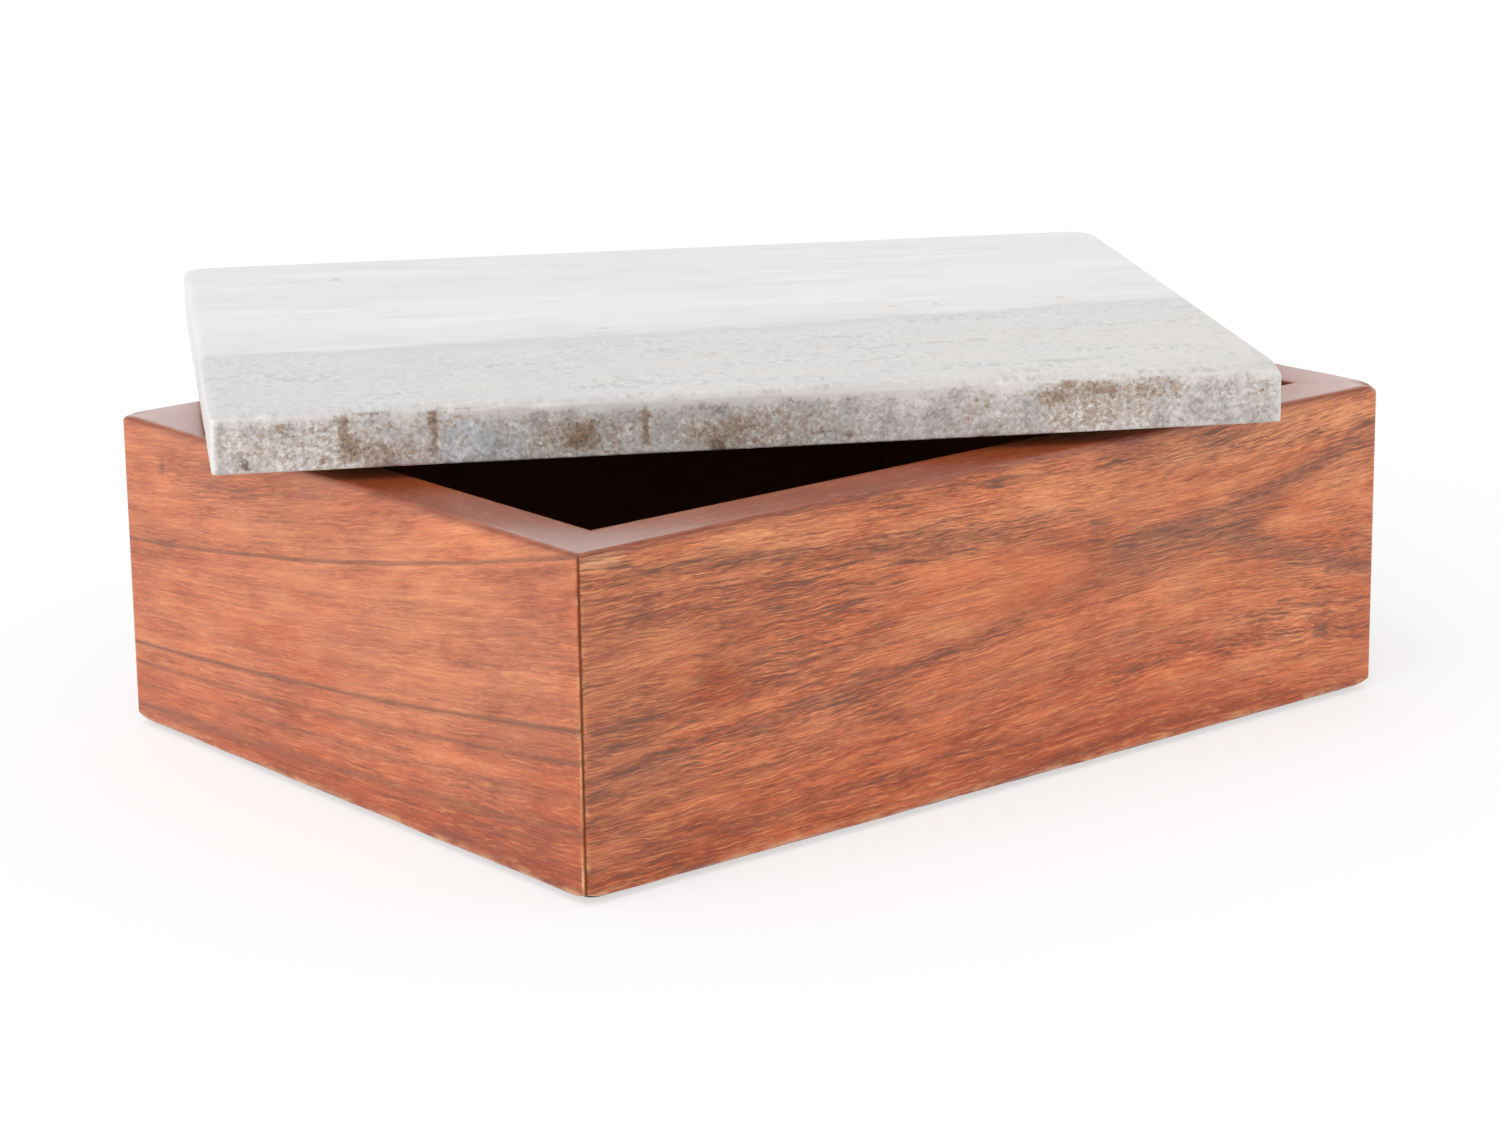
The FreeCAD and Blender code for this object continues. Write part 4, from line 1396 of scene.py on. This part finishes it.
# %% Slab layers
VEIN_LOW = -29.0
VEIN_TURN = -40.0
VEIN_SLOPE = 0.115
VEIN_BEND = 30.0
ARRIS_BAND = 0.8
EDGE_SHARE = 1.25
FRONT_BAND = (4.0, 2.0)
LEFT_BAND = (1.8, 1.4)
RIGHT_BAND = (1.3, 1.0)
STAIN_GAIN = 2.2
STAIN_SLANT = 1.7
STAIN_WAVELENGTHS = (60.0, 70.0)
HIDDEN_STAIN = (0.45, 0.2, 0.5)
STAINS = [
    (30.0, 1.0, 9.5, 3.6, 0.45, 0.40, 0), (31.2, 2.3, 4.4, 3.4, 0.58, 0.34, 0),
    (37.0, 5.0, 13.2, 0.8, 0.30, 0.70, 0), (38.7, 3.2, 7.6, 3.2, 0, 0, 0.45),
    (40.5, 7.5, 3.0, 2.7, 0.38, 0.24, 0), (50.4, 1.1, 7.0, 6.2, 0.60, 0.42, 0),
    (57.0, 6.0, 13.3, 0.7, 0.50, 0.35, 0), (57.5, 6.0, 5.5, 6.0, 0, 0.05, 0.85),
    (67.0, 4.5, 4.0, 4.0, 0, 0, 0.60), (84.0, 11.0, 5.0, 4.4, 0.26, 0.10, 0),
    (84.0, 3.6, 5.0, 3.2, 0.50, 0.38, 0), (99.0, 1.2, 7.0, 5.5, 0.42, 0.40, 0),
    (105.0, 3.6, 12.6, 0.9, 0.55, 0, 0), (115.6, 2.1, 1.3, 1.7, 0.2, 0.85, 0),
    (115.0, 8.0, 4.0, 3.4, 0.24, 0.15, 0), (130.0, 15.0, 4.4, 4.4, 0.22, 0.17, 0),
    (142.0, 3.2, 2.4, 2.4, 0, 0, 0.60), (146.5, 1.0, 2.2, 1.0, 0.2, 0.70, 0),
    (176.0, 4.5, 8.0, 5.5, 0.24, 0.02, 0), (194.0, 4.2, 8.6, 1.9, 0.50, 0.05, 0),
    (198.6, 2.1, 11.7, 1.2, 0.45, 0.30, 0), (206.0, 4.0, 10.4, 2.0, 0.45, 0.10, 0),
    (205.0, 17.0, 5.0, 5.6, 0.17, 0.05, 0), (244.5, 2.4, 6.0, 5.0, 0.34, 0, 0),
    (7.5, 1.1, 2.1, 1.2, 0.2, 0.85, 0), (15.6, 1.0, 9.9, 1.0, 0.70, 0, 0),
    (24.9, 1.0, 2.3, 1.0, 0.55, 0, 0), (1.6, 1.3, 8.0, 5.0, 0.30, 0, 0),
    (12.0, 9.0, 6.0, 6.0, 0.06, 0.24, 0.12), (31.0, 12.0, 8.0, 7.0, 0.10, 0.22, 0),
    (197.0, 9.0, 10.5, 3.6, 0.12, 0.04, 0), (53.0, 8.0, 11.4, 2.6, 0.22, 0.20, 0),
    (219.0, 9.0, 10.6, 3.2, 0.24, 0.08, 0), (105.0, 44.0, 6.0, 6.4, 0.20, 0, 0),
    (209.0, 21.0, 7.0, 7.0, 0.24, 0.02, 0), (22.0, 24.0, 7.0, 7.0, 0.10, 0.02, 0),
    # This entry has negative amounts: it lightens the upper middle of the front edge, painted light
    # against the shade over the dark box beneath.
    (105.0, 40.0, 12.6, 2.0, -0.30, -0.20, 0),
]


def edge_stains(along, across, height, on_front, on_left):
    """How rusty, dark and blue the edge is. On the front each mark is a bell with a flat crown, the
    exponential of minus the fourth powers; round the other edges it is a slow wave's upper part."""
    brown = STAIN_GAIN * slow_waves(9, along + STAIN_SLANT * across, STAIN_WAVELENGTHS[0])
    brown = np.clip(brown, 0, 1) * (1 - np.maximum(on_front, on_left))
    blue = np.clip(slow_waves(13, across - along, STAIN_WAVELENGTHS[1]), 0, 1) * (1 - on_front)
    stains = np.array(HIDDEN_STAIN)[:, None] * [brown, brown, blue]
    for at, reach, up, rise, *amounts in STAINS:
        beside = (along + BOX_LENGTH / 2 - at) / reach
        crown = bell(beside ** 2, ((height - up) / rise) ** 2)
        stains = stains + np.outer(amounts, on_front * crown)
    return stains.T


def slab_layers(points):
    """Stone coordinates; how much a point belongs to the ground edge, its distance from the vein, which
    runs level and then climbs past a soft knee, and how far it lies on either end, where a painted
    highlight goes; and the stains."""
    along, across, height = points.T
    half_length, half_width = BOX_LENGTH / 2, BOX_WIDTH / 2
    inside = np.minimum(half_length - np.abs(along), half_width - np.abs(across))
    ground = np.clip(EDGE_SHARE - inside / SLAB_TOP_ROUND, 0, 1)
    ground = ground * slope_up(SLAB_THICKNESS - height, ARRIS_BAND, ARRIS_BAND)
    ground = np.maximum(ground, height < SLAB_FOOT_ROUND)
    beside = along - VEIN_TURN
    vein = across - VEIN_LOW - VEIN_SLOPE / 2 * (beside + np.hypot(beside, VEIN_BEND))
    on_front = slope_up(-across, half_width - FRONT_BAND[0], FRONT_BAND[1])
    on_left = slope_up(-along, half_length - LEFT_BAND[0], LEFT_BAND[1])
    on_right = slope_up(along, half_length - RIGHT_BAND[0], RIGHT_BAND[1])
    return {"stone": points, "beds": np.stack([ground, vein, np.maximum(on_left, on_right)], axis=-1),
            "stains": edge_stains(along, across, height, on_front, on_left)}


slab = make_piece("marble_slab", set_in_frame(slab_points, LID_CENTRE, slab_low[2], LID_TURN),
                  slab_faces, slab_layers(slab_points), "lid", "lid_slab")

# %% [markdown]
# ## The polished top
# The top is a pale grey, lighter and milky behind the vein. In front of it the stone is bluish towards
# the left and beige towards the right, with grey and clay-brown flecks in rows along the beds. A few
# rusty specks are listed. A picture of stone would do, but streaks that are noise drawn out
# along the beds bend with the vein.

# %% Polished top
BED_SPAN = (-90.0, 130.0)
BED_TONES = [
    (-90, (0.535, 0.518, 0.500)), (-60, (0.560, 0.540, 0.520)), (-25, (0.545, 0.526, 0.510)),
    (-10, (0.550, 0.540, 0.534)), (-4, (0.530, 0.524, 0.522)), (-1, (0.486, 0.486, 0.490)),
    (1.0, (0.510, 0.506, 0.505)), (6.0, (0.628, 0.616, 0.610)), (26, (0.664, 0.652, 0.647)),
    (45, (0.686, 0.675, 0.670)), (75, (0.645, 0.630, 0.624)), (130, (0.655, 0.642, 0.636)),
]
BED_NOISES = {
    "wander": ((34, 13), 3, 0.6, (0, 0, 0)), "ragged": ((8, 2.8), 4, 0.65, (2, 0, 0)),
    "rows": ((46, 7), 3, 0.6, (7, 0, 0)),
}
TOP_NOISES = {
    "clouds": ((30, 9), 4, 0.6, (3, 0, 0)), "milk": ((50, 9), 4, 0.6, (0, 8, 0)),
    "fine": ((1.7, 2.6), 3, 0.65, (0, 5, 0)), "tint": ((26, 9), 3, 0.6, (0, 0, 6)),
    "dashes": ((4.5, 3.0), 4, 0.65, (9, 0, 0)),
}
CLOUD_GREY = (0.500, 0.492, 0.486, 1)
BLUE_GREY = (0.512, 0.503, 0.524, 1)
BEIGE = (0.585, 0.548, 0.515, 1)
MILK = (0.760, 0.756, 0.750, 1)
CLAY = (0.360, 0.275, 0.220, 1)
SPECK_GREY = (0.300, 0.288, 0.280, 1)
SPECK_RUST = (0.500, 0.300, 0.210, 1)
SPECK_COVER = 0.55
RUST_SPECKS = [((-25.0, -14.2), 3.4, 1.6), ((50.0, -3.5), 2.2, 1.6), ((93.5, -1.0), 1.8, 2.4),
               ((61.0, -2.5), 1.8, 2.2), ((-86.0, 66.0), 2.2, 3.0)]
BLUE_TO_BEIGE = 0.0016


def rust_specks(stone, along, across):
    """A tint for each speck: strongest in its middle, and gone where the distance, in shares of its
    length and width, reaches 1."""
    flat = stone.join(along, across, 0.0)
    for at, long, wide in RUST_SPECKS:
        away = stone.vectors("SUBTRACT", flat, (*at, 0))[0]
        away = stone.vectors("MULTIPLY", away, (1 / long, 1 / wide, 0))[0]
        away = stone.vectors("LENGTH", away)["Value"]
        yield SPECK_RUST, stone.step(away, 1.0, 0.2, 0.0, SPECK_COVER)


def polished_top(stone, place, vein):
    """Colour of the polished top: tones by the bed, clouds, milky streaks behind the vein, and in front
    of it blue and beige tints and grey, clay-brown and pale flecks."""
    along, across, height = stone.split(place)
    bed = SimpleNamespace(**stone.noises(stone.join(along, vein, height), BED_NOISES))
    top = SimpleNamespace(**stone.noises(place, TOP_NOISES))
    uneven = stone.total(vein, (bed.wander, 17), (bed.ragged, 12))
    span = BED_SPAN[1] - BED_SPAN[0]
    stops = [((level - BED_SPAN[0]) / span, tone) for level, tone in BED_TONES]
    colour = stone.ramp(stone.total((uneven, 1 / span, BED_SPAN[0])), stops)
    front = stone.step(uneven, 4, -6)
    behind = stone.step(uneven, -2, 6)
    tint = stone.total(top.tint, (along, BLUE_TO_BEIGE, 0))
    gathered = stone.total(top.fine, (bed.rows, 1.1))
    earthy = stone.total(top.dashes, (bed.rows, -0.5))
    clear = stone.total(top.fine, (top.dashes, -0.6))
    return stone.cover(
        colour,
        (CLOUD_GREY, stone.step(top.clouds, 0.45, 0.72, 0.0, 0.35)),
        (MILK, behind, stone.step(top.milk, 0.50, 0.68, 0.0, 0.45)),
        (BLUE_GREY, front, stone.step(tint, 0.52, 0.32, 0.0, 0.50)),
        (BEIGE, front, stone.step(tint, 0.52, 0.72, 0.0, 0.38)),
        (SPECK_GREY, front, stone.step(gathered, 0.56, 0.76, 0.0, 0.50)),
        (CLAY, front, stone.step(earthy, 0.55, 0.72, 0.0, 0.38)),
        (MILK, front, stone.step(clear, 0.47, 0.36, 0.0, 0.25)),
        *rust_specks(stone, along, across),
    )


print("tones in the beds:", len(BED_TONES))

# %% [markdown]
# ## The ground edges
# A ground edge shows the stone's grains themselves: crystals of random paleness, some bluish. Iron
# tints broad areas tan and umber, which single crystals escape, and darkens whole grains to rust and
# earth. The upper arris, where the polish begins, and the slab's two ends are painted paler: painted
# highlights for the light that the rounded arris and the ends catch.

# %% Marble
EDGE_TONES = [(0.0, (0.270, 0.242, 0.226)), (0.3, (0.415, 0.382, 0.364)), (0.6, (0.535, 0.504, 0.488)),
              (1.0, (0.720, 0.698, 0.684))]
BLUE_TONES = [(0.0, (0.290, 0.304, 0.328)), (0.5, (0.470, 0.486, 0.514)), (1.0, (0.690, 0.702, 0.724))]
EDGE_NOISES = {
    "grains": ((0.8,), 4, 0.7, (0, 0, 0)), "lumps": ((5.0,), 3, 0.55, (4, 0, 0)),
    "zones": ((24,), 2, 0.5, (0, 7, 0)), "broken": ((1.3,), 4, 0.7, (0, 0, 3)),
}
CRYSTAL_SIZE = 0.95
OCHRE = (0.340, 0.190, 0.080, 1)
IRON = (0.170, 0.098, 0.060, 1)
EARTH = (0.085, 0.066, 0.055, 1)
TAN = (0.465, 0.375, 0.312, 1)
UMBER = (0.240, 0.166, 0.116, 1)
# Pale colours painted on the upper arris and on the slab's two ends: painted highlights for the light
# that they catch.
ARRIS_HIGHLIGHT_PALE = (0.670, 0.640, 0.620, 1)
END_HIGHLIGHT_PALE = (0.800, 0.792, 0.784, 1)
END_HIGHLIGHT_COVER = 0.8
POLISHED = 0.22
GROUND = 0.42
STONE_RELIEF = 0.05
STONE_RELIEF_STRENGTH = 0.35


def ground_edge(stone, place, stains):
    """Colour of the ground edge, and its grains. A stain takes whole grains, because it only lowers the
    mark that the noise must pass."""
    rust, dark, blue = stone.split(stains)
    height = stone.split(place)[2]
    crystal = stone.crystals(place, CRYSTAL_SIZE)
    edge = SimpleNamespace(**stone.noises(place, EDGE_NOISES))
    grains, lumps, broken = edge.grains, edge.lumps, edge.broken
    paleness = stone.total((crystal, 0.36, 0.47), (grains, 1.6, 0.19), (lumps, 1.5),
                           (edge.zones, 0.5))
    veil = stone.total(blue, (lumps, 2.0))
    warm = stone.total(rust, (dark, 0.7, 0), (lumps, 1.5), (broken, 1.9),
                       (grains, -0.8), (crystal, -0.45))
    # How high on the edge a point is; near the top the arris is painted pale as a painted highlight.
    upper = stone.total(height, (lumps, 9.0), (grains, 4.0), (rust, -4.0, 0),
                        (dark, -4.0, 0))
    rusty = stone.total(rust, (broken, 3.2), (lumps, 0.8), (crystal, 0.3))
    shadowed = stone.total(dark, (grains, -3.2), (lumps, -0.8), (crystal, -0.3))
    iron = stone.mix(stone.step(grains, 0.44, 0.60), IRON, OCHRE)
    colour = stone.cover(
        stone.ramp(paleness, EDGE_TONES),
        (stone.ramp(paleness, BLUE_TONES), stone.step(veil, 0.15, 0.75, 0.0, 0.90)),
        (TAN, stone.step(warm, 0.05, 0.60, 0.0, 0.60)),
        (UMBER, stone.step(warm, 0.28, 1.05, 0.0, 0.68)),
        (ARRIS_HIGHLIGHT_PALE, stone.step(upper, 8.6, 12.2, 0.0, 0.85)),
        (iron, stone.step(rusty, 0.52, 1.00, 0.0, 0.62)),
        (EARTH, stone.step(shadowed, 0.48, 1.00, 0.0, 0.66)),
    )
    return colour, grains


def marble(name):
    """The finish of the slab: its polished top, and its ground edges where the mesh says so."""
    stone = Finish(name)
    place = stone.layer("stone")
    ground, vein, end_highlight = stone.split(stone.layer("beds"))
    edge, grains = ground_edge(stone, place, stone.layer("stains"))
    # The two ends are painted pale: a painted highlight.
    edge = stone.cover(edge, (END_HIGHLIGHT_PALE, end_highlight, END_HIGHLIGHT_COVER))
    stone.shade({"Base Color": stone.mix(ground, polished_top(stone, place, vein), edge),
                 "Roughness": stone.step(ground, 0.0, 1.0, POLISHED, GROUND)})
    stone.rough(grains, STONE_RELIEF, STONE_RELIEF_STRENGTH)
    return stone


marble("marble").onto(slab)
print("marble is on the slab")

# %% [markdown]
# ## Plain wood and felt
# The bottom has the walls' wood under the same dark brown as the inside, painted shade for the deep
# shade in the box. The panel under the lid is a paler wood with no lacquer, and so are the tongues
# hidden in the mitres, which keep the frame's own shape. Felt is a mat of short fibres that lie every
# way, with a faint sheen.

# %% Plain wood and felt
PALE_TONES = [(0.0, (0.300, 0.150, 0.066)), (0.4, (0.480, 0.275, 0.130)), (0.7, (0.570, 0.350, 0.180)),
              (1.0, (0.660, 0.440, 0.250))]
PALE_BANDS = (3.0, 200, 1)
PALE_SEED = 2.0
PALE_ROUGHNESS = 0.62
FELT_TONES = [(0.25, (0.020, 0.016, 0.014)), (0.75, (0.075, 0.062, 0.054))]
FELT_ROUGHNESS = 0.95
FELT_SHEEN = 0.4
BASE_BOARD = {
    "seed": 53, "lines": [(30.0, 1.0, 1.5, 0.4), (62.0, 1.2, 2.0, 0.4)], "ragged": 3.0, "solid": 0.5,
    "bands": 0.5, "streaks": 0.7, "fibres": 0.5, "strokes": 0.5, "gleams": 0.4, "curl": 3.0,
    "hairs": 0.3, "bead": 0.0,
}


def plain_wood(name, own_layers):
    """Unlacquered pale wood: slow rings and fine fibres. A piece with no layers of its own uses its
    place in the frame instead, with rings across X."""
    wood = Finish(name)
    grain = wood.layer("grain") if own_layers else wood.place()
    along = wood.split(grain)[0]
    ring = wood.split(wood.layer("areas"))[2] if own_layers else along
    bands = wood.noise(wood.join(ring, along, PALE_SEED), PALE_BANDS, 3, 0.6)
    streaks = wood.noise(grain, (34, 1.1), 5, 0.6)
    fibres = wood.noise(grain, (6, 0.3), 2, 0.5)
    tone = wood.total((bands, 0.9, -0.05), (streaks, 0.7), (fibres, 0.5))
    wood.shade({"Base Color": wood.ramp(tone, PALE_TONES), "Roughness": PALE_ROUGHNESS})
    wood.rough(wood.total((streaks, 0.5, 0), (fibres, 0.5, 0)), 0.08, 0.5)
    return wood


def wool_felt(name):
    """Two noises of different fineness give tufts and fibres."""
    wool = Finish(name)
    place = wool.place()
    tufts = wool.noise(place, (2.8,), 3, 0.6)
    fibres = wool.noise(place, (0.8,), 4, 0.7)
    tone = wool.total((tufts, 0.5, 0.0), (fibres, 0.6, 0.05))
    wool.shade({"Base Color": wool.ramp(tone, FELT_TONES), "Roughness": FELT_ROUGHNESS,
                "Sheen Weight": FELT_SHEEN})
    wool.rough(wool.total((fibres, 1.0, 0), (tufts, 0.6, 0)), 0.25, 0.8)
    return wool


# The bottom's finish carries the inside's painted shade.
hardwood("bottom_in_painted_shade", BASE_BOARD).onto(base)
plain_wood("pale_panel", True).onto(panel)
tongues = [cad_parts[node] for node in sorted(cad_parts) if node.startswith("spline_")]
plain_wood("pale_tongue", False).onto(*tongues)
wool_felt("dark_felt").onto(felt)
print("finished", len(walls) + 4, "new pieces and", len(tongues), "tongues")
